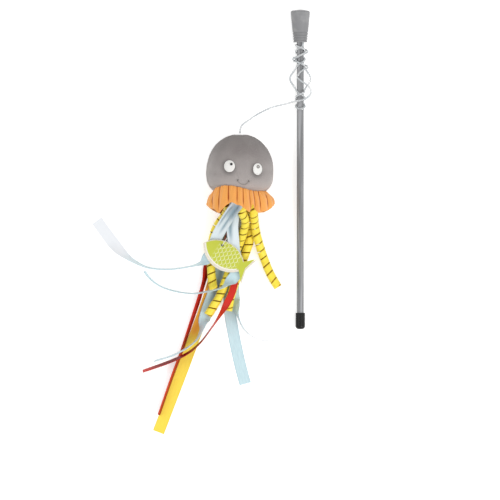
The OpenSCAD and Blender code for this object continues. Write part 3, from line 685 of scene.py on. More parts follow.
@dataclass(frozen=True)
class Backdrop(Finish):
    """Seamless white paper: matt, and bright to the camera as in a cut-out picture."""

    glow: float = 0.45

    def dress(self, tree: bpy.types.NodeTree) -> dict[str, object]:
        """Lifts the paper towards white for rays that show it as a background.

        Args:
            tree: the material's node tree.

        Returns:
            What goes into the shader's inputs, by name.
        """
        seen = background_rays(tree)
        tooth = add_node(tree, Kind.NOISE, add_node(tree, Kind.PLACE), grain(1.5), 3)
        return {"Emission Color": (1.0, 1.0, 1.0, 1.0),
                "Emission Strength": add_node(tree, Kind.MATH, seen, self.glow,
                                              operation="MULTIPLY"),
                "Normal": add_node(tree, Kind.BUMP, tooth, 0.02 * MM, 0.2)}


GRIP = MouldedRubber("moulded_grey_rubber", "#878789", 0.52)
ROD = PultrudedRod("pultruded_grey_fibreglass", "#8f9092", 0.38)
CAP = DippedVinyl("dipped_black_vinyl", "#141414", 0.2)
CORD = ClearElastic("drawn_clear_polyurethane", "#c6ccd0", 0.14, 1.49)
PLUSH = ShortPile("brushed_grey_plush", "#9b9391", 0.95)
FILLING = Wadding("white_polyester_wadding", "#f4f4f0", 0.9)
POUCH = WovenCloth("natural_cotton_pouch", "#d8cfb0", 0.85, shade="#b6ab8b", thread_mm=0.8)
SEAT = WovenCloth("grey_woven_lining", "#8b8482", 0.85)
WHITE_THREAD = EmbroideryThread("white_rayon_thread", "#fdfcf9", 0.4, groove="#d2cfca")
GREY_THREAD = EmbroideryThread("grey_rayon_thread", "#7d7a76", 0.45, groove="#5d5a58")
SOFT_THREAD = EmbroideryThread("pale_grey_rayon_thread", "#8f8b86", 0.45, groove="#736f6b")
DARK_THREAD = EmbroideryThread("dark_rayon_thread", "#3f3e3f", 0.4, groove="#262526")
RUFFLE = RuffleFleece("orange_knitted_fleece", "#ffb25a", 0.85)
# The satins' crease colours are painted shade; YELLOW's is orange, painted shade with painted
# reflected light from the red ribbon beside it.
BLUE = SatinWeave("pale_blue_woven_satin", "#cde6ec", 0.36, shade="#93b1bd")
RED = SatinWeave("red_woven_satin", "#dd3426", 0.36, shade="#9c1408", crease="#8a0f0a",
                 half_width_mm=3.0, sheen=0.0, gleam=0.22)
YELLOW = SatinWeave("yellow_woven_satin", "#fde24d", 0.42, shade="#e8b82a", crease="#e8951f")
CURL = CurlingRibbon("ribbed_yellow_curling_ribbon", "#ffe94a", 0.38)
CARD = CoatedCard("white_coated_card", "#efe9dc", 0.5, shade="#ddd6c6")
PRINT = ScalePrint("varnished_green_print", "#c4cc3a", 0.42)
PAPER = Backdrop("white_backdrop_paper", "#f4f4f3", 0.8)


# Curves and meshes.


def smooth(share: Array) -> Array:
    """Eases from 0 to 1: three times the square less twice the cube."""
    share = np.clip(share, 0.0, 1.0)
    return share * share * (3 - 2 * share)


def unit(v: Array) -> Array:
    """Gives each vector a length of 1."""
    return v / np.maximum(np.linalg.norm(v, axis=-1, keepdims=True), 1e-12)


def curve(rows: Rows | Array, steps: int) -> Array:
    """Runs a smooth curve through every row.

    Between two rows it is the cubic whose slope at each is half the difference
    of that row's neighbours; past the ends a row is mirrored.

    Args:
        rows: the rows that the curve passes through.
        steps: how many points lie between two rows.

    Returns:
        The points, one row each.
    """
    p = np.asarray(rows, float)
    p = np.vstack([2 * p[0] - p[1], p, 2 * p[-1] - p[-2]])
    a, b, c, d = (x[:, None, :] for x in (p[:-3], p[1:-2], p[2:-1], p[3:]))
    f = (np.arange(steps) / steps)[None, :, None]
    run = 0.5 * (2 * b + (c - a) * f + (2 * a - 5 * b + 4 * c - d) * f ** 2
                 + (3 * b - a - 3 * c + d) * f ** 3)
    return np.vstack([run.reshape(-1, p.shape[1]), p[-2]])


def run_length(points: Array) -> Array:
    """Gives the length so far at each point, counted on x, y and z."""
    step = np.linalg.norm(np.diff(points[:, :3], axis=0), axis=1)
    return np.concatenate([[0.0], np.cumsum(step)])


def at_length(points: Array, want: Array) -> Array:
    """Gives the rows of a curve at the wanted lengths, straight between its points.

    Args:
        points: the curve's rows, with x, y and z first.
        want: the lengths.

    Returns:
        A row for each length.
    """
    s = run_length(points)
    return np.stack([np.interp(want, s, points[:, k]) for k in range(points.shape[1])], axis=-1)


def tangents(points: Array) -> Array:
    """Gives the direction of a curve at each of its points."""
    return unit(np.gradient(points[:, :3], axis=0))


def lattice(rows: int, columns: int, wrap_rows: bool, wrap_columns: bool) -> Array:
    """Gives the faces of a grid of points, as corner numbers, four to a face.

    Args:
        rows: how many rows the grid has.
        columns: how many columns it has.
        wrap_rows: whether the last row joins the first.
        wrap_columns: whether the last column joins the first.

    Returns:
        The faces, one row each.
    """
    i = np.arange(rows if wrap_rows else rows - 1)[:, None]
    j = np.arange(columns if wrap_columns else columns - 1)[None, :]
    i2, j2 = (i + 1) % rows, (j + 1) % columns
    corners = (i * columns + j, i * columns + j2, i2 * columns + j2, i2 * columns + j)
    return np.stack([np.broadcast_to(c, (i.size, j.size)) for c in corners], -1).reshape(-1, 4)


def strip_ends(rows: int, columns: int) -> list[Array]:
    """Gives the faces that close the two ends of a strip.

    A row of the strip's grid runs across one face and back across the other, so
    a corner and the one over it are equally far from the row's two ends.

    Args:
        rows: how many rows the strip's grid has.
        columns: how many columns it has, on both faces together.

    Returns:
        The first end's faces and the last end's.
    """
    pair = np.arange(columns // 2 - 1)
    strip = np.stack([pair, pair + 1, columns - 2 - pair, columns - 1 - pair], -1)
    return [strip[:, ::-1], strip + (rows - 1) * columns]


def level_sides(t: Array) -> tuple[Array, Array]:
    """Gives the level direction left of each tangent, and the one over the two."""
    left = unit(np.stack([-t[..., 1], t[..., 0], 0 * t[..., 0]], -1))
    return left, np.cross(t, left)


def rings(side: Array, up: Array, sides: int) -> tuple[Array, Array]:
    """Gives a ring of directions round each point of a tube.

    A direction is the cosine of its angle on one side direction plus the sine on
    the other.

    Args:
        side: a direction for each point, square to the tube.
        up: the direction that is square to both.
        sides: corners of a ring.

    Returns:
        The corners' angles, and the rings, points by corners by three.
    """
    turn = 2 * np.pi * np.arange(sides) / sides
    return turn, (side[:, None] * np.cos(turn)[None, :, None]
                  + up[:, None] * np.sin(turn)[None, :, None])


@dataclass
class Surface:
    """Points and faces of one piece, with its map in millimetres and attributes."""

    points: Array
    faces: list[Array]
    uv: Array | None = None
    marks: dict[str, Array] = field(default_factory=dict)

    @classmethod
    def grid(cls, points: Array, wrap_rows: bool = False, uv: Array | None = None,
             caps: bool = False, marks: Mapping[str, Array] | None = None) -> "Surface":
        """Makes a surface of a grid of points whose last column joins the first.

        Args:
            points: the grid, rows by columns by three.
            wrap_rows: whether the last row joins the first.
            uv: the map at each point, in millimetres.
            caps: whether the first and last rows are closed with one face each.
            marks: attributes, with a value for each point.

        Returns:
            The surface.
        """
        rows, columns = points.shape[:2]
        faces = [lattice(rows, columns, wrap_rows, True)]
        if caps:
            ends = np.arange(columns)
            faces += [ends[None, ::-1], (ends + (rows - 1) * columns)[None, :]]
        return cls(points.reshape(-1, 3), faces, None if uv is None else uv.reshape(-1, 2),
                   {k: v.reshape(-1) for k, v in (marks or {}).items()})

    @classmethod
    def joined(cls, parts: Sequence["Surface"]) -> "Surface":
        """Puts several surfaces into one.

        Args:
            parts: the surfaces. One without an attribute or a map gets zeros for it.

        Returns:
            The one surface.
        """
        starts = np.cumsum([0] + [len(p.points) for p in parts])
        faces = [f + start for part, start in zip(parts, starts) for f in part.faces]
        names = {k for p in parts for k in p.marks}
        marks = {k: np.concatenate([p.marks.get(k, np.zeros(len(p.points))) for p in parts])
                 for k in names}
        uv = np.concatenate([np.zeros((len(p.points), 2)) if p.uv is None else p.uv
                             for p in parts])
        return cls(np.concatenate([p.points for p in parts]), faces, uv, marks)


@dataclass
class Piece:
    """What the scene makes of a surface: its name, body, finish and nodes."""

    name: str
    body: Body
    finish: Finish
    slot: str
    replaces: tuple[str, ...] = ()
    merge_m: float = 1e-6

    def build(self, surface: Surface) -> bpy.types.Object:
        """Makes the object, its material and its ties to the model.

        Args:
            surface: the piece's points and faces, in millimetres.

        Returns:
            The finished object, at the origin and untransformed.
        """
        mesh = bpy.data.meshes.new(self.name)
        faces = [row for block in surface.faces for row in block.tolist()]
        mesh.from_pydata((surface.points * MM).tolist(), [], faces)
        if surface.uv is not None:
            corners = np.empty(len(mesh.loops), np.int32)
            mesh.loops.foreach_get("vertex_index", corners)
            layer = mesh.uv_layers.new(name="map_mm")
            layer.data.foreach_set("uv", surface.uv[corners].astype(np.float32).ravel())
        for name, values in surface.marks.items():
            mark = mesh.attributes.new(name, "FLOAT", "POINT")
            mark.data.foreach_set("value", values.astype(np.float32))
        work = bmesh.new()
        work.from_mesh(mesh)
        bmesh.ops.remove_doubles(work, verts=work.verts, dist=self.merge_m)
        bmesh.ops.recalc_face_normals(work, faces=work.faces)
        work.to_mesh(mesh)
        work.free()
        mesh.polygons.foreach_set("use_smooth", [True] * len(mesh.polygons))
        mesh.materials.append(self.finish.material())
        made = bpy.data.objects.new(self.name, mesh)
        bpy.context.scene.collection.objects.link(made)
        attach(made, self.body.value)
        if self.replaces:
            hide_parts(*self.replaces)
        LOG.info("%s: %d points on %s", self.name, len(mesh.vertices), self.body.value)
        return made


def tube(points: Array, steady: Array, radius: Array | float, sides: int = 14) -> Surface:
    """Makes a round tube along points.

    A corner is the point, plus the radius times the cosine of its angle on one
    side direction and the sine on the other; both are square to the curve.

    Args:
        points: the tube's middle line.
        steady: a direction for each point, never along the tube.
        radius: the tube's radius, one or one for each point.
        sides: corners of a ring.

    Returns:
        The closed tube, with its map as distance round and along.
    """
    t = tangents(points)
    side = unit(np.cross(t, steady))
    turn, ring = rings(side, np.cross(side, t), sides)
    r = np.broadcast_to(np.asarray(radius, float), len(points))[:, None, None]
    uv = np.stack(np.broadcast_arrays(turn[None, :] * r[:, :, 0], run_length(points)[:, None]), -1)
    return Surface.grid(points[:, None, :] + ring * r, uv=uv, caps=True)


def closed_tube(path: Array, up: Array, radius: Array, sides: int = 10) -> Surface:
    """Makes a tube round a closed path that lies roughly flat.

    A corner is a point of the path plus the radius times its ring's direction.

    Args:
        path: the tube's middle line, without its first point again at the end.
        up: the direction that is square to the path's plane.
        radius: the tube's radius at each point.
        sides: corners of a ring.

    Returns:
        The closed tube, with its map as distance along and share round.
    """
    ways = unit(np.roll(path, -1, 0) - np.roll(path, 1, 0))
    side = unit(np.cross(ways, up))
    turn, ring = rings(side, np.cross(side, ways), sides)
    step = np.linalg.norm(path - np.roll(path, 1, 0), axis=1)
    uv = np.stack(np.broadcast_arrays(np.cumsum(step)[:, None], turn[None, :] * 0.4), -1)
    return Surface.grid(path[:, None] + ring * radius[:, None, None], wrap_rows=True, uv=uv)


# The wand.


@dataclass
class Wand:
    """The rod, its grip knob and its end cap: solids that only get their finish."""

    knob_top_d: float = 16.6
    knob_rim_z: float = 246.5
    length: float = 274.5
    rod_d: float = 6.0
    cap_r: float = 4.1
    knob_dome_h: float = 0.8
    edge_r: float = 1.8
    cap_edge_r: float = 2.6
    side: float = 85.6
    up: float = 91.9

    @property
    def tilt(self) -> float:
        """The rod's tilt, as it lies on the knob's edge and on the cap."""
        high = self.length - self.knob_dome_h - self.edge_r
        return math.asin((self.knob_top_d / 2 - self.cap_r) / (high - self.cap_edge_r))

    def place(self, local: Array) -> Array:
        """Takes points on the upright rod to where the rod lies.

        It is a turn by the tilt, to the level at which the cap touches the table.

        Args:
            local: points with the rod upright, its knob's top at its length.

        Returns:
            The points in the frame.
        """
        c, s = math.cos(self.tilt), math.sin(self.tilt)
        rise = self.cap_r * c - self.cap_edge_r * s
        x, y, z = local[..., 0], local[..., 1], local[..., 2]
        return np.stack([self.side + x, -self.up + z * c + y * s, rise + z * s - y * c], -1)

    def build(self, nodes: Mapping[str, bpy.types.Object]) -> None:
        """Gives the three solids their finishes.

        Args:
            nodes: the model's solids by name.
        """
        dress(nodes, "wand_rod", ROD)
        dress(nodes, "grip_knob", GRIP)
        dress(nodes, "end_cap", CAP)


def dress(nodes: Mapping[str, bpy.types.Object], name: str, finish: Finish) -> None:
    """Gives a solid of the model its finish.

    Args:
        nodes: the model's solids by name.
        name: the solid.
        finish: the finish of its whole surface.
    """
    slots = nodes[name].data.materials
    if len(slots):
        for i in range(len(slots)):
            slots[i] = finish.material()
    else:
        slots.append(finish.material())
    LOG.info("%s: solid, %s", name, finish.name)


# The cord.


@dataclass
class Cord:
    """One elastic cord: wound on the rod in three passes, then free to the lure."""

    wand: Wand
    end: tuple[float, float, float]
    diameter: float = 1.6
    pitch: float = 13.4
    middle: float = 31.4
    bow_r: float = 9.0
    room: float = 0.55
    step: float = 6.0
    cross_angle: float = -35.0
    low_turn: float = 390.0
    high_turn: float = 480.0
    rim_turn: float = 490.0
    last_turn: float = 125.0
    hold_share: float = 0.41
    ease_share: float = 0.68
    last_share: float = 0.66
    last_lift: float = 1.15
    knot_d: float = 4.8
    route: tuple[tuple[float, float, float], ...] = (
        (84, 123, 15.4), (87, 120.5, 15.6), (91, 118, 15), (94.4, 114, 13.5),
        (94.4, 110, 12.4), (91, 106.5, 12.6), (86, 104.6, 13), (80, 103.4, 12.4),
        (72, 101.2, 11.6), (61, 98.4, 12), (50, 93.2, 15.4), (41.4, 87.5, 20.6),
        (36, 83.5, 25), (34.2, 80, 27.2))

    def __post_init__(self) -> None:
        """Works out the winding's derived sizes."""
        self.rate = 360 / self.pitch
        self.wind_r = self.wand.rod_d / 2 + self.diameter / 2 + 0.1 * self.diameter
        self.lift = self.diameter + self.room
        self.hold = self.hold_share * self.pitch
        self.ease = self.ease_share * self.pitch
        self.last_ease = self.last_share * self.pitch
        self.last_hold = (self.hold + self.ease / 2 - self.last_turn / self.rate
                          - self.last_ease / 2)

    def reach(self, turn: Array, hold: float, ease: float) -> Array:
        """Distance from the loops' middle after a turn: a root curve, then a line.

        Args:
            turn: degrees turned since the loose loop.
            hold: how far the loop runs straight.
            ease: over what distance the turning picks up.

        Returns:
            The distances, in millimetres.
        """
        g = np.asarray(turn, float) / self.rate
        return np.where(g <= ease / 2, hold + np.sqrt(2 * ease * g), g + hold + ease / 2)

    def lifted(self, angle: Array) -> Array:
        """Share of the lift over the strand below, by the angle from the crossing."""
        off = np.abs((np.asarray(angle) + 90) % 180 - 90)
        return smooth((64 - off) / 34)

    def bow(self, v: Array) -> Array:
        """Swell of a loose loop: a squared cosine between its two ends."""
        f = np.abs(v) / (self.hold + 0.55 * self.ease)
        return np.where(f >= 1, 0.0, np.cos(np.radians(90 * np.minimum(f, 1))) ** 2)

    def half(self, turns: float, side: int, middle: float, sign: int, kind: Pass) -> Array:
        """Half of a pass, from the loose loops outwards.

        Args:
            turns: how far it turns, in degrees.
            side: which way it turns, 1 or -1.
            middle: the angle of its loose loop.
            sign: which way it runs along the rod, 1 or -1.
            kind: how it meets the strands below.

        Returns:
            Rows of angle, radius and distance from the loops' middle.
        """
        turn = np.arange(self.step, turns + 0.01, self.step)
        last = kind is Pass.LAST
        v = sign * self.reach(turn, self.last_hold if last else self.hold,
                              self.last_ease if last else self.ease)
        angle = middle + side * turn
        lift = {Pass.UNDER: 0.0 * turn, Pass.OVER: self.lift * self.lifted(angle),
                Pass.LAST: self.last_lift * self.lift * self.lifted(angle + 90)}[kind]
        swell = 0.0 * turn if last else (self.bow_r - self.wind_r) * self.bow(v)
        return np.stack([angle, self.wind_r + np.maximum(lift, swell), v], -1)

    def loose(self, middle: float) -> Array:
        """The straight middle of a loose loop.

        Args:
            middle: the loop's angle.

        Returns:
            Rows of angle, radius and distance from the loops' middle.
        """
        v = np.linspace(-1, 1, 11) * self.hold
        return np.stack([0 * v + middle, self.wind_r + (self.bow_r - self.wind_r) * self.bow(v),
                         v], -1)

    def turn_back(self, first: float, sweep: float, reach: float, sign: int,
                  kind: Pass) -> Array:
        """The arc in which one pass turns into the next: a parabola along the rod.

        Args:
            first: the angle at which it starts.
            sweep: how far it turns, in degrees.
            reach: the distance along the rod at which it starts.
            sign: which end of the winding it is at, 1 or -1.
            kind: how the pass before it meets the strands below.

        Returns:
            Rows of angle, radius and distance from the loops' middle.
        """
        f = np.arange(1, 20) / 10 - 1
        angle = first + sweep * (f + 1) / 2
        lift = np.where(f < 0, self.lift * self.lifted(angle), 0.0) if kind is Pass.OVER else 0 * f
        return np.stack([angle, self.wind_r + lift, sign * (
            reach + (1 - f * f) * abs(sweep) / (4 * self.rate))], -1)

    def winding(self) -> tuple[Array, Array]:
        """Winds the cord: down, up over that, and down again over both.

        Returns:
            The winding's points, and their directions away from the rod.
        """
        down = [self.half(self.rim_turn, 1, -90, -1, Pass.UNDER)[::-1], self.loose(-90),
                self.half(self.low_turn, 1, -90, 1, Pass.UNDER)]
        up = [self.half(self.low_turn, -1, 90, 1, Pass.OVER)[::-1], self.loose(90)[::-1],
              self.half(self.high_turn, -1, 90, -1, Pass.OVER)]
        last = [self.half(self.high_turn + self.last_turn, 1, self.cross_angle, -1,
                          Pass.LAST)[::-1]]
        low = float(self.reach(self.low_turn, self.hold, self.ease))
        high = float(self.reach(self.high_turn, self.hold, self.ease))
        w = np.vstack(down + [self.turn_back(self.low_turn - 90, 120, low, 1, Pass.UNDER)] + up
                      + [self.turn_back(90 - self.high_turn, -120, high, -1, Pass.OVER)] + last)
        a = np.radians(w[:, 0])
        at = np.stack([w[:, 1] * np.sin(a), -w[:, 1] * np.cos(a),
                       self.wand.knob_rim_z - self.middle - w[:, 2]], -1)
        lead = np.repeat(at[:1], 5, axis=0)
        lead[:, 2] = self.wand.knob_rim_z - np.linspace(0, 1, 5) * self.diameter
        local = self.soften(np.vstack([lead, at]), 2)
        out = local * [1, 1, 0]
        return self.wand.place(local), self.wand.place(unit(out)) - self.wand.place(0 * out)

    @staticmethod
    def soften(points: Array, times: int) -> Array:
        """Rounds small corners: each point moves to the mean of it and its neighbours.

        Args:
            points: the line's points.
            times: how often they move.

        Returns:
            The rounded line, with its ends in place.
        """
        for _ in range(times):
            points = np.vstack([points[:1], (points[:-2] + 2 * points[1:-1] + points[2:]) / 4,
                                points[-1:]])
        return points

    def build(self) -> None:
        """Makes the cord as one tube from the winding to the head, and its knot."""
        wound, out = self.winding()
        way = unit(wound[-1] - wound[-2])
        end = np.array(self.end)
        free = curve(np.vstack([wound[-1] + self.diameter * way, self.route,
                                end + [0, self.diameter, 0]]), 9)
        path = np.vstack([wound, free, end])
        share = smooth(np.arange(len(free) + 1) / 12)[:, None]
        steady = np.vstack([out, unit(out[-1] * (1 - share) + UP * share)])
        knot = self.knot()
        piece = Piece("elastic_cord", Body.WAND, CORD, "cord", ("cord_winding", "cord_run"))
        made = piece.build(tube(path, steady, self.diameter / 2))

    def knot(self) -> bpy.types.Object:
        """Makes the overhand knot: the three-lobed closed curve, drawn tight.

        Its points are (sin t + 2 sin 2t, -1.1 sin 3t, cos t - 2 cos 2t), scaled
        so that the cord stays inside the knot's ball.

        Returns:
            The knot's object.
        """
        t = np.linspace(0, 2 * np.pi, 73)[:-1]
        r = self.diameter * 0.42
        p = np.stack([np.sin(t) + 2 * np.sin(2 * t), -1.1 * np.sin(3 * t),
                      np.cos(t) - 2 * np.cos(2 * t)], -1) * (self.knot_d / 2 - r) / 3
        middle = np.array(self.end) - [0, self.knot_d / 2 + 0.1, 0]
        ways = unit(np.roll(p, -1, 0) - np.roll(p, 1, 0))
        side = unit(np.cross(ways, p + [0, 0.01, 0]))
        turn, ring = rings(side, np.cross(side, ways), 12)
        uv = np.stack(np.broadcast_arrays(turn[None, :] * r, (t * 2)[:, None]), -1)
        surface = Surface.grid(middle + p[:, None] + ring * r, wrap_rows=True, uv=uv)
        return Piece("cord_overhand_knot", Body.KNOT, CORD, "cord", ("cord_knot",)).build(surface)


# The head and its face.


@dataclass
class Head:
    """The stuffed head: two plush panels sewn round its sides, flat underneath."""

    middle: tuple[float, float, float] = (33.8, 44.0, 27.65)
    width: float = 56.3
    high: float = 30.7
    low: float = 20.8
    squareness: float = 3.125
    seam_drop: float = 17.8
    seam_rise: float = 4.6
    panel_seam_depth: float = 0.5
    knot_y: float = 75.9
    fibres: int = 34000
    fibre_mm: float = 1.05
    fibre_r: float = 0.13
    fibre_root: float = 0.12
    photo_mm: float = 0.86
    photo_px: tuple[float, float] = (200.6, 222.2)
    left_eye_px: tuple[float, float] = (229.7, 166.9)
    left_eye_half: tuple[float, float] = (4.75, 5.15)
    right_eye_px: tuple[float, float] = (257.6, 169.8)
    right_eye_half: tuple[float, float] = (4.0, 5.1)
    left_pupil_px: tuple[float, float] = (231.5, 164.9)
    right_pupil_px: tuple[float, float] = (258.1, 167.5)
    smile_px: Rows = ((238.0, 180.6), (238.9, 182.7), (240.8, 184.4), (243.5, 185.1),
                      (246.5, 184.4), (248.8, 182.0))
    smile_ends: Rows = ((237.9, 181.0, 1.2), (248.9, 181.7, -0.9))
    smile_stitches: int = 8

    def from_photo(self, px: Array | float, py: Array | float) -> tuple[Array, Array]:
        """Takes a place in the photograph to the frame's x and y."""
        return ((np.asarray(px) - self.photo_px[0]) * self.photo_mm - 0.1,
                (self.photo_px[1] - np.asarray(py)) * self.photo_mm)

    def outline(self, rise: Array) -> tuple[Array, Array]:
        """Gives the outline's reach from the axis and along it, for a rise.

        Above the widest round they are (cos rise)^0.92 and sin rise. Below it
        both lie on the oval whose shares, each to the same power, add up to 1.

        Args:
            rise: angle from the widest round, a quarter turn at the pole.

        Returns:
            The two reaches.
        """
        c, s = np.maximum(np.cos(rise), 0.0), np.sin(rise)
        n = self.squareness
        r = (c ** n + np.abs(s) ** n) ** (-1 / n)
        return (self.width / 2 * np.where(rise > 0, c ** 0.92, r * c),
                np.where(rise > 0, self.high * s, self.low * r * s))

    def seam_at(self, turn: Array) -> Array:
        """Gives how far below the widest round the ruffle's seam runs at a turn."""
        signed = (np.degrees(turn) + 180) % 360 - 180
        return self.seam_drop - self.seam_rise * smooth(1 - np.abs(signed + 24) / 62)

    def radius_at(self, drop: Array) -> Array:
        """Gives the head's radius at a distance below its widest round."""
        return self.width / 2 * (1 - (drop / self.low) ** self.squareness) ** (1 / self.squareness)

    def skin(self, turn: Array, rise: Array) -> Array:
        """Gives the plush's face at a turn round the axis and a rise towards the pole.

        The seam of the two panels and the gathers at the ruffle draw the outline
        in a little, a dimple takes the knot, and what would lie below the table
        is laid flat on it.

        Args:
            turn: angle round the axis, 0 towards the viewer.
            rise: angle from the widest round, a quarter turn at the pole.

        Returns:
            The points.
        """
        wide, along = self.outline(rise)
        off = np.abs(wide * np.cos(turn))
        groove = self.panel_seam_depth * np.exp(-(off / 0.8) ** 2) * smooth(wide / 8)
        swell = 0.35 * np.exp(-((off - 4.5) / 3.2) ** 2) * smooth(wide / 12)
        at_ruffle = np.exp(-((along + self.seam_at(turn)) / 2.6) ** 2)
        gather = at_ruffle * (0.15 + 0.1 * np.sin(22 * turn + 1.5 * np.sin(3 * turn)))
        lumps = 0.22 * np.sin(3 * turn + 2 * rise) * np.cos(4 * rise + 1) * np.cos(rise)
        wide_now = np.maximum(wide - groove + swell * 0.4 - gather + lumps, 0.0)
        dimple = 3.6 * np.exp(-(wide / 2.6) ** 2.6) * (rise > 0)
        pucker = 0.25 * np.exp(-((wide - 4.5) / 2.0) ** 2) * np.sin(10 * turn) * (rise > 0)
        x, y, z = self.middle
        height = z + wide_now * np.cos(turn)
        soft = 0.35
        height = np.where(height < soft, soft * np.exp((height - soft) / soft) * 0.98, height)
        return np.stack([x + wide_now * np.sin(turn), y + along - dimple + pucker, height], -1)

    def over(self, x: Array, y: Array) -> Array:
        """Gives the height of the plush's upper face over a point of the table.

        It is the height of a round of the head's radius at that place.

        Args:
            x: the points' x in the frame.
            y: their y.

        Returns:
            The heights.
        """
        off = y - self.middle[1]
        up = np.clip(off / self.high, 0, 0.999)
        down = np.clip(-off, 0, 0.999 * self.low)
        wide = np.where(off > 0, self.width / 2 * (1 - up * up) ** 0.46, self.radius_at(down))
        return self.middle[2] + np.sqrt(np.maximum(wide ** 2 - (x - self.middle[0]) ** 2, 0.01))

    def build(self) -> None:
        """Makes the plush with its pile, the eyes, the pupils and the smile."""
        turn = np.radians(np.arange(0, 360, 2.0))
        rise = np.radians(np.concatenate([np.linspace(-90, 60, 90), np.linspace(61, 90, 45)]))
        grid = self.skin(turn[None, :], rise[:, None])
        uv = np.stack(np.broadcast_arrays(turn[None, :] * self.width / 2,
                                          rise[:, None] * self.high), -1)
        body = Surface.grid(grid, uv=uv, marks={"tip": np.zeros(grid.shape[:2]),
                                                "sunk": self.sunk(grid)})
        piece = Piece("plush_head", Body.LURE, PLUSH, "plush", ("head_front", "head_back"))
        made = piece.build(Surface.joined([body, self.pile()]))
        self.eye("left_eye_embroidery", self.left_eye_px, self.left_eye_half, "left_eye")
        self.eye("right_eye_embroidery", self.right_eye_px, self.right_eye_half, "right_eye")
        self.dot("left_pupil_stitch", self.left_pupil_px, 0.0, 1.2, "left_pupil")
        self.dot("right_pupil_stitch", self.right_pupil_px, 0.45, 1.45, "right_pupil",
                 SOFT_THREAD)
        self.smile()

    def sunk(self, points: Array) -> Array:
        """Gives the share of painted shade round the eyes' stitches.

        It is a bell of the distance to each eye's edge, fuller at the lower left.

        Args:
            points: points of the plush.

        Returns:
            A share for each point, 0 away from the eyes.
        """
        share = np.zeros(points.shape[:-1])
        for px, (half_w, half_h) in ((self.left_eye_px, self.left_eye_half),
                                     (self.right_eye_px, self.right_eye_half)):
            x, y = self.from_photo(*px)
            dx, dy = points[..., 0] - x, points[..., 1] - y
            off = (np.hypot(dx / half_w, dy / half_h) - 1) * half_w
            side = 0.46 - 0.26 * (dx + dy) / np.maximum(np.hypot(dx, dy), 1)
            share = np.maximum(share, side * np.exp(-(np.maximum(off, 0) / 2.3) ** 2))
        return share * (points[..., 2] > self.middle[2])

    def pile(self) -> Surface:
        """Makes the short pile as three-sided spikes, spread evenly by area.

        A spike stands on the skin where a shuffled spiral of the golden angle
        falls, leans down towards the ruffle and ends in a light tip. The spikes
        are thicker and fewer than real fibres, which would not show.

        Returns:
            All the spikes, less those under the head and round its knot.
        """
        dice = np.random.default_rng(7)
        n = self.fibres
        share = (np.arange(n) + 0.5) / n
        rise = np.arcsin(np.clip(1 - 1.86 * share - 0.01, -1, 1))
        turn = (np.arange(n) * math.pi * (3 - math.sqrt(5))
                + dice.uniform(-0.02, 0.02, n)) % (2 * math.pi)
        rise = rise + dice.uniform(-0.01, 0.01, n)
        step = 1e-3
        foot = self.skin(turn, rise)
        on_turn = unit(self.skin(turn + step, rise) - foot)
        on_rise = unit(self.skin(turn, rise + step) - foot)
        out = unit(np.cross(on_rise, on_turn))
        inwards = np.sum(out * (foot - np.array(self.middle)), -1, keepdims=True) < 0
        out = np.where(inwards, -out, out)
        lean = unit(out + 0.55 * (-on_rise) + dice.normal(0, 0.28, (n, 3)))
        tall = self.fibre_mm * dice.uniform(0.6, 1.15, (n, 1))
        keep = (foot[:, 2] > 1.2) & (np.hypot(foot[:, 0] - self.middle[0],
                                              foot[:, 2] - self.middle[2]) > 3.6)
        foot, on_turn, on_rise, out, lean, tall = (
            a[keep] for a in (foot, on_turn, on_rise, out, lean, tall))
        third = 2.0944
        base = foot - self.fibre_root * out
        corners = np.stack([base + self.fibre_r * (math.cos(a) * on_turn + math.sin(a) * on_rise)
                            for a in (0.0, third, 2 * third)]
                           + [base + lean * (tall + self.fibre_root)], 1)
        first = 4 * np.arange(len(corners))[:, None]
        faces = [first + np.array(f)[None, :] for f in ((0, 1, 3), (1, 2, 3), (2, 0, 3), (0, 2, 1))]
        tip = np.tile([0.0, 0.0, 0.0, 0.8], len(corners))
        points = corners.reshape(-1, 3)
        return Surface(points, faces, None, {"tip": tip, "sunk": self.sunk(points)})

    def eye(self, name: str, at_px: tuple[float, float], half: tuple[float, float],
            node: str) -> None:
        """Makes an embroidered eye: laid threads, domed, with an outline stitch.

        Its height over the plush is a share of one less the fourth power of the
        distance from the eye's middle, so it is full and drops at its edge.

        Args:
            name: the eye's piece. Its outline's name is this with _outline.
            at_px: its middle in the photograph.
            half: half its width and half its height.
            node: the solid that it replaces.
        """
        half_w, half_h = half
        x0, y0 = self.from_photo(*at_px)
        ring = np.linspace(0, 1, 16)[:, None]
        turn = np.linspace(0, 2 * np.pi, 73)[None, :-1]
        x = x0 + half_w * ring * np.cos(turn)
        y = y0 + half_h * ring * np.sin(turn)
        wave = 0.05 * np.sin(2 * np.pi * y / 0.9) * (1 - ring ** 6)
        top = self.over(x, y) + 0.35 + 0.75 * (1 - ring ** 4) + wave
        low = self.over(x, y) + 0.1 - 0.3 * ring ** 4
        rim = np.stack([x, y, top], -1)
        under = np.stack([x, y, low], -1)[::-1]
        uv = np.stack([np.broadcast_to(y - y0, x.shape), np.broadcast_to(x - x0, x.shape)], -1)
        surface = Surface.grid(np.vstack([rim, under]), uv=np.vstack([uv, uv[::-1]]))
        piece = Piece(name, Body.LURE, WHITE_THREAD, "eye_thread", (node,))
        piece.build(surface)
        edge = np.linspace(0, 2 * np.pi, 97)[:-1]
        ex = x0 + (half_w + 0.15) * np.cos(edge)
        ey = y0 + (half_h + 0.15) * np.sin(edge)
        thick = 0.2 * (0.72 + 0.28 * np.abs(np.sin(edge * 13)))
        path = np.stack([ex, ey, self.over(ex, ey) + 0.3], -1)
        Piece(name + "_outline", Body.LURE, GREY_THREAD, "face_thread").build(
            closed_tube(path, UP, thick))

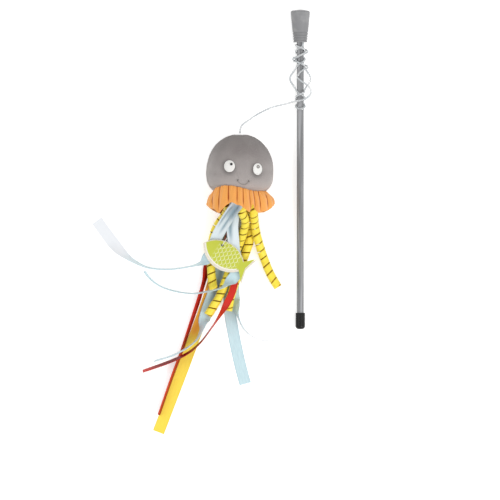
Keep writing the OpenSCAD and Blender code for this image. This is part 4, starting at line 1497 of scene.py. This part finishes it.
    def dot(self, name: str, at_px: tuple[float, float], inner: float, outer: float,
            node: str, thread: Finish = DARK_THREAD) -> None:
        """Makes a pupil: a low round of thread, with a light middle if it has one.

        Args:
            name: the piece.
            at_px: its middle in the photograph.
            inner: the radius of its light middle.
            outer: its own radius.
            node: the solid that it replaces.
            thread: its finish.
        """
        x0, y0 = self.from_photo(*at_px)
        middle = (inner + outer) / 2
        thick = (outer - inner) / 2
        around = np.linspace(0, 2 * np.pi, 49)[:-1]
        path = np.stack([x0 + middle * np.cos(around), y0 + middle * np.sin(around),
                         self.over(x0 + middle * np.cos(around), y0 + middle * np.sin(around))
                         + 1.15 + 0 * around], -1)
        ripple = thick * (0.9 + 0.1 * np.abs(np.sin(around * 8)))
        surface = closed_tube(path, UP, ripple)
        Piece(name, Body.LURE, thread, "face_thread", (node,)).build(surface)

    def smile(self) -> None:
        """Makes the smile as back stitches on a curve, with a cross stitch at each end.

        A stitch is a tube that arches as half a sine and is thickest in its middle.
        """
        px, py = curve(self.smile_px, 8).T
        x, y = self.from_photo(px, py)
        line = np.stack([x, y, self.over(x, y) + 0.55], -1)
        total = run_length(line)[-1]
        count = self.smile_stitches
        parts = []
        for i in range(count):
            want = np.linspace((i + 0.06) / count, (i + 0.94) / count, 9) * total
            stitch = at_length(line, want)
            arch = np.sin(np.linspace(0, np.pi, 9))
            stitch[:, 2] += 0.3 * arch - 0.2
            parts.append(tube(stitch, UP[None], 0.12 + 0.16 * arch ** 0.5, 10))
        Piece("smile_back_stitch", Body.LURE, SOFT_THREAD, "face_thread",
              ("smile_stitch",)).build(Surface.joined(parts))
        ends = []
        for px0, py0, way in self.smile_ends:
            cx, cy = self.from_photo(px0, py0)
            s = np.linspace(-1, 1, 9)
            x, y = cx + 0.5 * s * way, cy + 1.0 * s
            bar = np.stack([x, y, self.over(x, y) + 0.62 + 0.3 * np.cos(s * np.pi / 2)], -1)
            ends.append(tube(bar, UP[None], 0.15 + 0.28 * np.cos(s * np.pi / 2), 10))
        Piece("smile_end_stitches", Body.LURE, GREY_THREAD, "face_thread").build(
            Surface.joined(ends))


# The ruffle.


@dataclass
class Ruffle:
    """The pleated skirt that is sewn to the head."""

    head: Head
    length: float = 22.0
    thickness: float = 0.9
    depth: float = 1.9
    columns: int = 720
    rows: int = 26
    folds_deg: tuple[float, ...] = (
        -180, -162, -143, -124, -104, -84, -62, -40, -21, -5, 6, 20, 31, 45, 68, 92, 114, 134,
        150, 165)
    hem_bells: tuple[tuple[float, float, float], ...] = (
        (-29, 10, 0.24), (-15, 10, -0.16), (12, 6, 0.2), (20.5, 4.5, -0.26), (29, 6, 0.08))

    def lean(self, a: Array) -> Array:
        """Lean from the head's axis, most to the right and least at the back."""
        back = smooth((-np.cos(a) - 0.3) / 0.5)
        return np.radians(27 + 5 * np.cos(4 * a) + 5 * np.sin(a) - 6 * back)

    def reach(self, a: Array) -> Array:
        """Share of the length: least at the sides and at the two notches in front.

        A fuller lobe hangs left of the notches. Each is a bell of the angle.

        Args:
            a: the angle round the head, 0 towards the viewer.

        Returns:
            The shares.
        """
        signed = (np.degrees(a) + 180) % 360 - 180
        bells = sum(tall * np.exp(-((signed - at) / wide) ** 2)
                    for at, wide, tall in self.hem_bells)
        return 0.77 + 0.12 * np.cos(2 * a) - 0.07 * np.cos(4 * a) + bells

    def from_fold(self, a: Array, f: Array) -> Array:
        """Gives the share of the way from one fold to the next, 0 at either.

        Towards the hem the folds draw together, so that they hang straight.

        Args:
            a: the angle round the head.
            f: the share of the skirt's length, 0 at its seam.

        Returns:
            The shares.
        """
        folds = np.array(self.folds_deg + (self.folds_deg[0] + 360,))
        signed = (np.degrees(a) + 180) % 360 - 180
        signed = signed + 0.28 * f * signed * (1 - (signed / 180) ** 2)
        return np.interp(signed, folds, np.arange(len(folds))) % 1.0

    def pleat(self, a: Array, f: Array) -> Array:
        """Height of the pleats: full rounds that meet in narrow folds.

        Between two folds it is the sine of the half turn from one to the other,
        to the power 0.8. It grows from the seam and eases off at the hem; fine
        gathers fade out below the seam.

        Args:
            a: the angle round the head.
            f: the share of the skirt's length, 0 at its seam.

        Returns:
            The heights, in millimetres.
        """
        swell = np.sin(np.pi * self.from_fold(a, f)) ** 0.8
        gathers = 0.3 * (1 - f) ** 2 * np.sin(58 * a + 2 * np.sin(5 * a))
        return (self.depth * (0.45 + 0.9 * f - 0.5 * f * f) * (swell - 0.62)
                + 0.35 * np.sin(3 * a + 0.7) * f + gathers)

    def face(self, a: Array, f: Array, out: float) -> Array:
        """Gives one face of the cloth.

        From the seam it runs out by the sine of the lean and down by the cosine,
        and the pleats and a bulge at the sides stand out square to that.

        Args:
            a: the angle round the head.
            f: the share of the skirt's length, 0 at its seam.
            out: how far the face stands out from the inner one.

        Returns:
            The points.
        """
        x0, y0, z0 = self.head.middle
        s = f * self.length * self.reach(a)
        lean = self.lean(a)
        p = self.pleat(a, f)
        drop = self.head.seam_at(a)
        fine = 0.12 * np.sin(41 * a + 6 * f) * f + 0.1 * np.sin(5 * a + 9 * f)
        bulge = 1.7 * np.sin(np.pi * f) * np.abs(np.sin(a)) ** 2
        r = (self.head.radius_at(drop) + 0.6 + s * np.sin(lean) + p * np.cos(lean) + fine
             + bulge + out)
        along = -drop - s * np.cos(lean) + 0.4 * p
        return np.stack([x0 + r * np.sin(a), y0 + along,
                         np.maximum(z0 + r * np.cos(a), 0.05 if out else self.thickness)], -1)

    def build(self) -> None:
        """Makes the skirt with two faces, a turned hem and a gathered seam.

        The painted shade of a fold is a bell of the distance to it, and fades at the hem; the inner
        face is marked for painted shade.
        """
        a = 2 * np.pi * np.arange(self.columns)[None, :] / self.columns
        f = np.linspace(0, 1, self.rows)[:, None]
        outer = self.face(a, f, self.thickness)
        inner = self.face(a, f, 0.0)
        roll = 0.5 * (outer[-1:] + inner[-1:])
        way = unit(outer[-1:] - outer[-2:-1])
        hem = roll + way * self.thickness * 0.6
        hem[..., 2] = np.maximum(hem[..., 2], 0.3)
        top = 0.5 * (outer[:1] + inner[:1]) + [0, 0.5, 0]
        grid = np.vstack([top, outer, hem, inner[::-1]])
        near = np.minimum(self.from_fold(a, f), 1 - self.from_fold(a, f))
        # Painted shade of the folds, fading at the hem.
        fold = np.exp(-(near / (0.07 + 0.05 * f)) ** 2) * (1 - 0.6 * smooth((f - 0.6) / 0.4))
        marks = {"fold": np.vstack([fold[:1], fold, fold[-1:], fold[::-1]]),
                 # The inner face is marked for painted shade.
                 "inner": np.vstack([0 * fold[:1], 0 * fold, 0 * fold[:1], 0 * fold + 1])}
        uv = np.stack(np.broadcast_arrays(a * 20, np.linspace(0, 44, len(grid))[:, None]), -1)
        surface = Surface.grid(grid, wrap_rows=True, uv=uv, marks=marks)
        made = Piece("pleated_ruffle", Body.LURE, RUFFLE, "ruffle", ("ruffle",)).build(surface)


# The ribbons.


@dataclass
class Seat:
    """The round of cloth under the head that carries the ribbons' sewn ends."""

    head: Head
    radius: float = 15.0
    thickness: float = 1.6
    gap: float = 0.3
    px: float = 240.1
    py: float = 196.7
    level: float = 10.0

    @property
    def face_y(self) -> float:
        """Where the seat's outer face lies."""
        return self.head.middle[1] - self.head.low - self.gap - self.thickness

    def root(self, share: Sequence[float], off: float = 0.0) -> Array:
        """Gives a ribbon's first row on the seat.

        Args:
            share: how far right and up it starts, as shares of the radius, and
                its roll.
            off: how far below the seat's face it starts.

        Returns:
            The row: x, y, z and roll.
        """
        x, _, z = self.head.middle
        return np.array([x + share[0] * self.radius, self.face_y - off,
                         z + share[1] * self.radius, share[2]])

    def route(self, share: Sequence[float], rows: Rows, lead: float, off: float,
              steps: int) -> Array:
        """Runs a ribbon's route from its root through rows read in the photograph.

        Args:
            share: its root, as in root.
            rows: places in the photograph, each with its level over the table in
                steps of the seat's level, and its roll.
            lead: how far it runs straight down from the seat.
            off: how far below the seat's face it starts.
            steps: how many points lie between two rows.

        Returns:
            The route's rows: x, y, z and roll.
        """
        r = np.asarray(rows, float)
        placed = np.stack([self.head.middle[0] + (r[:, 0] - self.px) * self.head.photo_mm,
                           self.face_y + (self.py - r[:, 1]) * self.head.photo_mm,
                           r[:, 2] * self.level, r[:, 3]], -1)
        start = self.root(share, off)
        return curve(np.vstack([start, start - [0, lead, 0, 0], placed]), steps)

    def build(self) -> None:
        """Makes the seat: a gathered disc whose rim rolls up to the head.

        It is a row of circles, each with its share of the radius and its depth,
        and the outer ones are puckered by a sine of the turn.
        """
        turn = np.linspace(0, 2 * np.pi, 145)[None, :-1]
        ring = np.array([0.0, 0.2, 0.4, 0.6, 0.8, 0.93, 1.0, 1.0, 0.985, 0.9, 0.5, 0.0])[:, None]
        deep = np.array([0, 0, 0, 0, 0, 0.1, 0.6, 2.2, 4.2, 4.6, 3.2, 2.6])[:, None]
        pucker = 0.3 * np.sin(24 * turn) * smooth((ring - 0.6) / 0.4)
        r = self.radius * ring + 0 * turn
        x0, _, z0 = self.head.middle
        y = self.face_y + deep + np.maximum(pucker, 0) * 0.6 + 0 * turn
        grid = np.stack([x0 + r * np.sin(turn), y, z0 + r * np.cos(turn)], -1)
        Piece("gathered_seat", Body.LURE, SEAT, "plush", ("ribbon_seat",)).build(Surface.grid(grid))


@dataclass
class Ribbon:
    """A flat ribbon: its width, length and the route that it lies on.

    A crease row paints shade and dips the strip: it holds where it starts and ends
    along the ribbon in mm, its middle and its spread as shares of the half width,
    and its depth in mm. A row of depth 0 paints shade only.
    """

    name: str
    node: str
    finish: Finish
    slot: str
    width: float
    length: float
    root: tuple[float, float, float]
    rows: Rows
    creases_and_shades: tuple[tuple[float, float, float, float, float], ...] = ()
    # Where painted sheen comes in along the ribbon, and where it ends near the root.
    painted_sheen_from: float = 1000.0
    painted_sheen_to: float = 0.0
    thickness: float = 0.4
    ring_mm: float = 0.9
    broad: float = 10.0
    lead: float = 5.0
    steps: int = 24
    corners: int = 19

    def crease_shade_and_dip(self, s: Array, across: Array) -> tuple[Array, Array]:
        """Gives each point's share of the painted shade, and how deep a crease dips.

        Each row's shade and dip is a bell across the ribbon that wanders a little,
        times a soft step at its start and its end.

        Args:
            s: lengths along the ribbon.
            across: places across it, from -1 to 1.

        Returns:
            The shares and the depths, lengths by places.
        """
        tone = np.zeros((len(s), len(across)))
        dip = 0 * tone
        for k, (start, end, middle, spread, depth) in enumerate(self.creases_and_shades):
            wander = 0.08 * np.sin(s / 13 + 2.1 * k)
            bell = np.exp(-((across[None, :] - middle - wander[:, None]) / spread) ** 2)
            bell = bell * (smooth((s - start) / 8) * smooth((end - s) / 14))[:, None]
            tone = np.maximum(tone, bell)
            dip = dip + depth * bell
        return tone, dip

    def build(self, seat: Seat) -> None:
        """Makes the ribbon as a closed strip, carried along its route.

        Across, the strip's two faces bulge at the selvedges and cup a little;
        along, each ring is turned about the route by the row's roll.

        Args:
            seat: the cloth that carries the ribbon.
        """
        dense = seat.route(self.root, self.rows, self.lead, 0.0, self.steps)
        count = int(self.length / self.ring_mm)
        p = at_length(dense, np.linspace(0, self.length, count))
        p, roll = p[:, :3], np.radians(p[:, 3])
        p[:, 2] = np.maximum(p[:, 2], self.width / 2 * np.abs(np.sin(roll)) + self.thickness / 2)
        t = tangents(p)
        t[0] = [0, -1, 0]
        left, up = level_sides(t)
        wide = left * np.cos(roll)[:, None] + up * np.sin(roll)[:, None]
        thick = unit(np.cross(t, wide))
        across = np.cos(np.linspace(0, np.pi, self.corners))
        half = self.width / 2
        bead = 0.5 + 0.35 * np.exp(-((np.abs(across) - 0.93) / 0.05) ** 2)
        bead[[0, -1]] = 0.12
        s = run_length(p)
        phase = float(len(self.name) * 1.7)
        cup = 0.1 * np.sin(s / 9 + phase)[:, None] * (1 - across ** 2)[None, :]
        # Painted shade of the creases and shaded stretches, and the creases' dips.
        tone, dip = self.crease_shade_and_dip(s, across)
        cup = cup - dip
        face = [p[:, None, :] + wide[:, None, :] * (across * half)[None, :, None]
                + thick[:, None, :] * (cup + side * bead * self.thickness * 0.85)[..., None]
                for side in (1, -1)]
        grid = np.concatenate([face[0], face[1][:, ::-1]], axis=1)
        u = np.concatenate([across, across[::-1]]) * half
        uv = np.stack(np.broadcast_arrays(u[None, :], s[:, None]), -1)
        # Painted sheen along the ribbon: full past its start length, and partly near the root.
        pale = smooth((s - self.painted_sheen_from) / 25) + 0.62 * smooth((self.painted_sheen_to - s) / 22)
        pale = np.broadcast_to(pale[:, None], grid.shape[:2])
        surface = Surface.grid(grid, uv=uv, marks={
            "crease": np.concatenate([tone, tone[:, ::-1]], axis=1), "pale": pale})
        surface.faces += strip_ends(*grid.shape[:2])
        piece = Piece(self.name, Body.LURE, self.finish, self.slot, (self.node,))
        made = piece.build(surface)


@dataclass
class Curl:
    """A strip that is curled into a long open helix round its own route."""

    name: str
    node: str
    length: float
    phase: float
    root: tuple[float, float, float]
    rows: Rows
    diameter: float = 7.5
    pitch: float = 7.2
    strip: float = 6.1
    thickness: float = 0.4
    per_turn: int = 36
    lead: float = 5.0
    off: float = 0.8
    steps: int = 16
    corners: int = 9

    def build(self, seat: Seat) -> None:
        """Winds the strip: a point turns round the route while it moves along it.

        The radius breathes by a few hundredths along the strip, and its edges
        curl out a little, as they do on a ribbon drawn over a blade. The last
        turn is cut square to the route, so that the end is open and round.

        Args:
            seat: the cloth that carries the curl.
        """
        dense = seat.route(self.root, self.rows, self.lead, self.off, self.steps)[:, :3]
        i = np.arange(int((self.length - 0.15) / self.pitch * self.per_turn) + 1)
        angle = np.radians(self.phase + 360 * i / self.per_turn)
        side = np.linspace(-1, 1, self.corners)
        low = np.minimum(i * self.pitch / self.per_turn, self.length - 0.3)
        high = np.minimum(low + self.strip, self.length)
        at = low[:, None] + (high - low)[:, None] * (side[None, :] + 1) / 2
        c = at_length(dense, at)
        near = 0.8
        t = unit(at_length(dense, at + near) - at_length(dense, at - near))
        left, up = level_sides(t)
        out = left * np.cos(angle)[:, None, None] + up * np.sin(angle)[:, None, None]
        breath = 1 + 0.025 * np.sin(0.31 * angle + self.phase) + 0.015 * np.sin(1.7 * angle)
        flare = 0.12 * side ** 4
        outer = self.diameter / 2 * breath[:, None] + flare[None, :] - 0.1
        faces = [c + out * r[..., None] for r in (outer, outer - self.thickness)]
        grid = np.concatenate([faces[0], faces[1][:, ::-1]], axis=1)
        u = at - low[:, None]
        v = i * math.pi * self.diameter / self.per_turn
        uv = np.stack(np.broadcast_arrays(np.hstack([u, u[:, ::-1]]), v[:, None]), -1)
        # The inner face is marked for painted shade.
        inner = np.broadcast_to(np.repeat([0.0, 1.0], len(side))[None, :], grid.shape[:2])
        surface = Surface.grid(grid, uv=uv, marks={"inner": inner})
        surface.faces += strip_ends(*grid.shape[:2])
        Piece(self.name, Body.LURE, CURL, "yellow_ribbon", (self.node,)).build(surface)


# In a crease row, a depth of 0 paints shade only, without a dip.
RIBBONS: tuple[Ribbon, ...] = (
    Ribbon("blue_ribbon_high", "blue_ribbon_1", BLUE, "blue_satin", 10, 186.4,
           (-0.1, 0.85, 0), (
        (231.5, 212, 3.45, 0), (223.2, 225, 2.05, 0), (217.1, 236, 1.27, 0), (214.3, 245, 1.12, 0),
        (211, 252.5, 1.13, 0), (206.5, 258.5, 1.13, 20), (201, 262, 1.1, 66),
        (193.5, 264.6, 0.85, 82), (183.5, 266.8, 0.62, 84), (169, 268.5, 0.56, 85),
        (152, 267.5, 0.56, 84), (140.5, 263.8, 0.56, 79), (128, 256.5, 0.52, 62),
        (119, 248.5, 0.34, 28), (111, 239, 0.08, 0), (97, 220, 0.04, 0)), (
        (0, 50, 0.15, 0.2, 1.0), (6, 44, -0.55, 0.16, 0.7), (2, 32, 0.3, 0.8, 0.0)), 128, 66),
    Ribbon("blue_ribbon_crossing", "blue_ribbon_2", BLUE, "blue_satin", 10, 168,
           (-0.25, 0.55, 0), (
        (234, 212, 2.75, 0), (232.6, 226, 1.95, 0), (233.4, 238, 1.36, 0), (234.5, 250, 1.16, 0),
        (237, 262, 1.14, 0), (237.4, 270.3, 1.13, 0), (233.4, 277.2, 1.15, -2),
        (227.6, 282.8, 1.45, 60), (221, 287.3, 1.62, 82), (208, 290.5, 1.62, 84),
        (195, 292.5, 1.15, 85), (181, 291.5, 0.62, 85), (168, 288.5, 0.56, 85),
        (158, 284, 0.56, 85), (149, 276.5, 0.56, 83), (142, 266, 0.56, 82)), (
        (0, 50, -0.45, 0.34, 0.9), (2, 20, 0.0, 0.5, 0.0)), painted_sheen_to=66),
    Ribbon("blue_ribbon_low", "blue_ribbon_3", BLUE, "blue_satin", 10, 179.6,
           (-0.2, -0.17, 0), (
        (235, 212, 1.6, 0), (230.5, 224, 0.75, 0), (227, 233, 0.3, 0), (225.5, 240, 0.17, 0),
        (223.5, 250, 0.13, 0), (220.5, 262, 0.13, 0), (218, 275, 0.13, 0), (214.8, 288, 0.13, 0),
        (211, 299, 0.13, 0), (207.3, 309, 0.13, 0), (204.8, 317.5, 0.16, 6),
        (203.4, 322.6, 0.4, 46), (202, 328, 0.56, 70), (197.4, 337.8, 0.6, 82),
        (190, 345, 1.02, 84), (181, 350.5, 1.14, 84), (170, 355.5, 0.98, 84),
        (151, 361, 0.6, 84)), (
        (0, 48, 0.0, 0.3, 0.6), (66, 112, 0.3, 0.5, 0.0)), painted_sheen_to=60),
    Ribbon("blue_ribbon_broad", "blue_ribbon_4", BLUE, "blue_satin", 10, 170.6,
           (0.31, -0.76, 0), (
        (244, 212, 0.4, 0), (241, 235, 0.05, 0), (236, 258, 0.03, 0), (231, 283, 0.03, 0),
        (229.3, 300, 0.03, 0), (230.6, 316, 0.03, 0), (234, 335, 0.03, 0), (237.3, 351, 0.03, 0),
        (241, 367, 0.03, 0), (246, 385.5, 0.03, 0)), painted_sheen_to=50),
    Ribbon("blue_ribbon_right", "blue_ribbon_5", BLUE, "blue_satin", 10, 156.4,
           (-0.3, -0.41, 0), (
        (237, 212, 1.02, 0), (239, 233, 0.2, 0), (238, 258, 0.11, 0), (233.6, 283, 0.11, 0),
        (234.2, 298, 0.12, 0), (236, 305.5, 0.44, 44), (238, 315, 0.58, 80),
        (243.8, 328, 0.58, 84), (254.6, 337, 0.58, 85), (271, 340.5, 0.56, 84),
        (291, 334, 0.56, 80)),
           (), 112, 56),
    Ribbon("red_ribbon_long", "red_ribbon_1", RED, "red_satin", 6, 207,
           (-0.67, -0.3, 0), (
        (225.2, 212, 1.05, 0), (223.5, 222, 0.34, 0), (217, 236, 0.14, 0), (210, 256, 0.13, 0),
        (206.8, 267, 0.16, -10), (204.3, 280, 0.31, -55), (198.5, 300, 0.31, -56),
        (189.5, 327, 0.32, -62), (181.5, 351, 0.34, -68), (172.5, 375, 0.35, -70),
        (158.4, 416, 0.36, -72)), (
        (0, 230, 0.35, 0.75, 0.0),)),
    Ribbon("red_ribbon_curving", "red_ribbon_2", RED, "red_satin", 6, 203.4,
           (0.05, 0.2, 0), (
        (235, 212, 2.2, 40), (229.5, 226, 1.2, 82), (224.7, 240.6, 0.72, 88),
        (228, 252, 0.93, 35), (233.4, 263, 1, 0), (235.6, 276, 1, 0), (232.4, 291, 1, 0),
        (227.8, 301, 1.02, 8), (222.8, 310, 1.03, 50), (217.5, 318.4, 0.97, 72),
        (212, 326.5, 0.87, 80), (202, 340, 0.72, 80), (192.5, 349, 0.88, 74),
        (183, 355, 0.98, 70), (172, 360, 0.82, 66), (160, 364.5, 0.5, 66),
        (139, 371.8, 0.33, 70)), (
        (0, 60, 0.2, 0.5, 0.0), (128, 204, 0.1, 0.9, 0.0))),
    Ribbon("yellow_ribbon_long", "yellow_ribbon", YELLOW, "yellow_ribbon", 10, 221,
           (-0.39, -0.73, 0), (
        (232.6, 212, 0.42, 0), (228.4, 222, 0.06, 0), (222, 238, 0.04, 0), (215, 275, 0.03, 0),
        (206, 305, 0.03, 0), (195, 335, 0.03, 0), (184, 365, 0.03, 0), (158, 433, 0.03, 0)), (
        (60, 140, -0.3, 1.0, 0.0),)),
)

CURLS: tuple[Curl, ...] = (
    Curl("curl_right", "curled_ribbon_1", 87.6, 0, (0.74, 0, 0), (
        (253.8, 212, 2.5, 0), (255.2, 226, 1.3, 0), (257.8, 238, 1.06, 0), (261, 249, 0.62, 0),
        (264.5, 259, 0.42, 0), (270.3, 273, 0.42, 0), (277.8, 286, 0.42, 0), (284, 296, 0.42, 0))),
    Curl("curl_middle", "curled_ribbon_2", 122, 90, (0.46, 0.55, 0), (
        (241.8, 209.5, 3.3, 0), (245.4, 221.5, 2, 0), (241.4, 238, 0.8, 0), (237, 249, 0.58, 0),
        (231.5, 263, 0.57, 0), (226, 280, 0.57, 0), (219.3, 296, 0.57, 0), (206.5, 317, 0.57, 0),
        (200, 327, 0.57, 0))),
    Curl("curl_left", "curled_ribbon_3", 91.6, 180, (-0.67, 0.08, 0), (
        (226.6, 212, 1.92, 0), (217.5, 225, 0.87, 0), (212.5, 240, 0.58, 0),
        (211.5, 256, 0.57, 0), (211.5, 272, 0.57, 0), (213.5, 288, 0.57, 0), (215, 298, 0.57, 0))),
    Curl("curl_low", "curled_ribbon_4", 106, 270, (0.3, -0.42, 0), (
        (248.4, 212, 1.3, 0), (250.2, 227, 0.6, 0), (250.2, 238, 0.57, 0), (247.4, 248, 0.56, 0),
        (241.5, 264, 0.55, 0), (236, 280, 0.55, 0), (231, 295, 0.55, 0), (228.6, 308, 0.55, 0),
        (227, 319, 0.55, 0))),
)


# The tag.


@dataclass
class FishTag:
    """The fish-shaped card: a solid with two finishes, and its loop of thread."""

    seat: Seat
    px: float = 222.5
    py: float = 244.5
    turn_deg: float = -32.8
    length: float = 47.0
    hole: tuple[float, float] = (0.321, 0.151)
    height: float = 13.4
    card_t: float = 0.8
    loop_w: float = 7.0
    loop_below: float = 10.6
    ply_turns: int = 26
    ply_r: float = 0.21
    ply_off: float = 0.24

    def build(self, nodes: Mapping[str, bpy.types.Object]) -> None:
        """Dresses the card and its print, and makes the loop from two twisted plies.

        The print starts at the nose, which lies back from the hole by the hole's
        shares of the tag's length. The loop is two half circles joined by straight
        lines, and each ply turns about it as a helix.

        Args:
            nodes: the model's solids by name.
        """
        dress(nodes, "fish_tag", CARD)
        x = self.seat.head.middle[0] + (self.px - self.seat.px) * self.seat.head.photo_mm
        y = self.seat.face_y + (self.seat.py - self.py) * self.seat.head.photo_mm
        a = math.radians(self.turn_deg)
        hole = self.length * np.array(self.hole)
        nose = (x - hole[0] * math.cos(a) + hole[1] * math.sin(a),
                y - hole[0] * math.sin(a) - hole[1] * math.cos(a))
        dress(nodes, "tag_face", replace(PRINT, nose_mm=nose, turn_deg=self.turn_deg))
        low = self.height - self.loop_below + self.loop_w / 2
        high = self.height + 2 * self.card_t
        bend = np.linspace(0, np.pi, 49)[:-1]
        half = self.loop_w / 2
        rise = np.linspace(low, high, 25)[:-1]
        way = np.concatenate([half * np.cos(bend), -half + 0 * rise, -half * np.cos(bend),
                              half + 0 * rise])
        up = np.concatenate([high + half * np.sin(bend), rise[::-1], low - half * np.sin(bend),
                             rise])
        b = a + math.pi / 2
        path = np.stack([x + (half + way) * math.cos(b), y + (half + way) * math.sin(b), up], -1)
        flat = np.array([math.sin(b), -math.cos(b), 0.0])
        ways = unit(np.roll(path, -1, 0) - np.roll(path, 1, 0))
        side = np.cross(ways, flat)
        share = 2 * np.pi * self.ply_turns * np.arange(len(path)) / len(path)
        parts = []
        for start in (0.0, np.pi):
            off = self.ply_off * (np.cos(share + start)[:, None] * flat
                                  + np.sin(share + start)[:, None] * side)
            parts.append(closed_tube(path + off, flat, np.full(len(path), self.ply_r), 8))
        Piece("tag_thread_loop", Body.LURE, WHITE_THREAD, "eye_thread",
              ("tag_loop",)).build(Surface.joined(parts))


# The studio.


@dataclass
class Studio:
    """The white table, the soft lights and the camera that looks straight down."""

    photo_centre: tuple[float, float] = (42.4, -23.9)
    frame_mm: float = 430.0
    camera_mm: float = 6000.0
    film_mm: float = 36.0
    far_m: float = 50.0
    table_half_m: float = 6.0
    table_points: int = 9
    sky: float = 0.74
    lamps: tuple[tuple[str, tuple[float, float, float], float, float], ...] = (
        ("key", (1.6, -1.2, 2.0), 1.3, 30.0), ("fill", (-1.6, 0.6, 2.0), 1.8, 9.0))

    def camera(self) -> None:
        """Puts the camera over the photograph's middle, with a long lens."""
        lens = bpy.data.cameras.new("camera")
        lens.sensor_width = self.film_mm
        lens.lens = self.film_mm * self.camera_mm / self.frame_mm
        lens.clip_end = self.far_m
        made = bpy.data.objects.new("camera", lens)
        made.location = [v * MM for v in (*self.photo_centre, self.camera_mm)]
        bpy.context.scene.collection.objects.link(made)
        bpy.context.scene.camera = made

    def lamp(self, name: str, place: tuple[float, float, float], size: float,
             power: float) -> None:
        """Adds one soft lamp that faces the toy.

        Args:
            name: the lamp.
            place: where it hangs, in metres.
            size: how wide it is, in metres.
            power: its power in watts.
        """
        light = bpy.data.lights.new(name, "AREA")
        light.size = size
        light.energy = power
        made = bpy.data.objects.new(name, light)
        made.location = place
        made.rotation_euler = Vector(place).to_track_quat("Z", "Y").to_euler()
        bpy.context.scene.collection.objects.link(made)

    def build(self) -> None:
        """Sets the table, the lamps, the sky and the plain view transform."""
        n = self.table_points
        step = np.linspace(-self.table_half_m, self.table_half_m, n)
        x, y = np.meshgrid(step, step)
        mesh = bpy.data.meshes.new("table")
        points = np.stack([x, y, 0 * x], -1).reshape(-1, 3)
        mesh.from_pydata(points.tolist(), [], lattice(n, n, False, False).tolist())
        mesh.materials.append(PAPER.material())
        table = bpy.data.objects.new("table", mesh)
        bpy.context.scene.collection.objects.link(table)
        for lamp in self.lamps:
            self.lamp(*lamp)
        world = bpy.data.worlds.new("studio")
        world.use_nodes = True
        tree = world.node_tree
        tree.nodes.clear()
        strength = add_node(tree, Kind.SPREAD, background_rays(tree), 0.0, 1.0, self.sky, 1.0,
                            interpolation_type="LINEAR")
        sky = add_node(tree, Kind.SKY, (1.0, 1.0, 1.0, 1.0), strength)
        add_node(tree, Kind.SKY_OUTPUT, sky)
        bpy.context.scene.world = world
        bpy.context.scene.view_settings.view_transform = "Standard"
        self.camera()


def corners(box: tuple[Sequence[float], Sequence[float]]) -> list[list[float]]:
    """Turns a box into plain lists of numbers."""
    return [[float(v) for v in corner] for corner in box]


def main() -> None:
    """Builds the wand, the cord, the lure and the tag, and lights them."""
    logging.basicConfig(level=logging.INFO, format="%(name)s: %(message)s")
    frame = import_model()
    nodes = frame["nodes"]
    Studio().build()
    wand = Wand()
    head = Head()
    seat = Seat(head)
    Cord(wand, end=(head.middle[0], head.knot_y, head.middle[2])).build()
    wand.build(nodes)
    dress(nodes, "stuffing", FILLING)
    dress(nodes, "catnip_pouch", POUCH)
    head.build()
    Ruffle(head).build()
    seat.build()
    for ribbon in RIBBONS:
        ribbon.build(seat)
    for curl in CURLS:
        curl.build(seat)
    FishTag(seat).build(nodes)


if __name__ == "__main__":
    main()
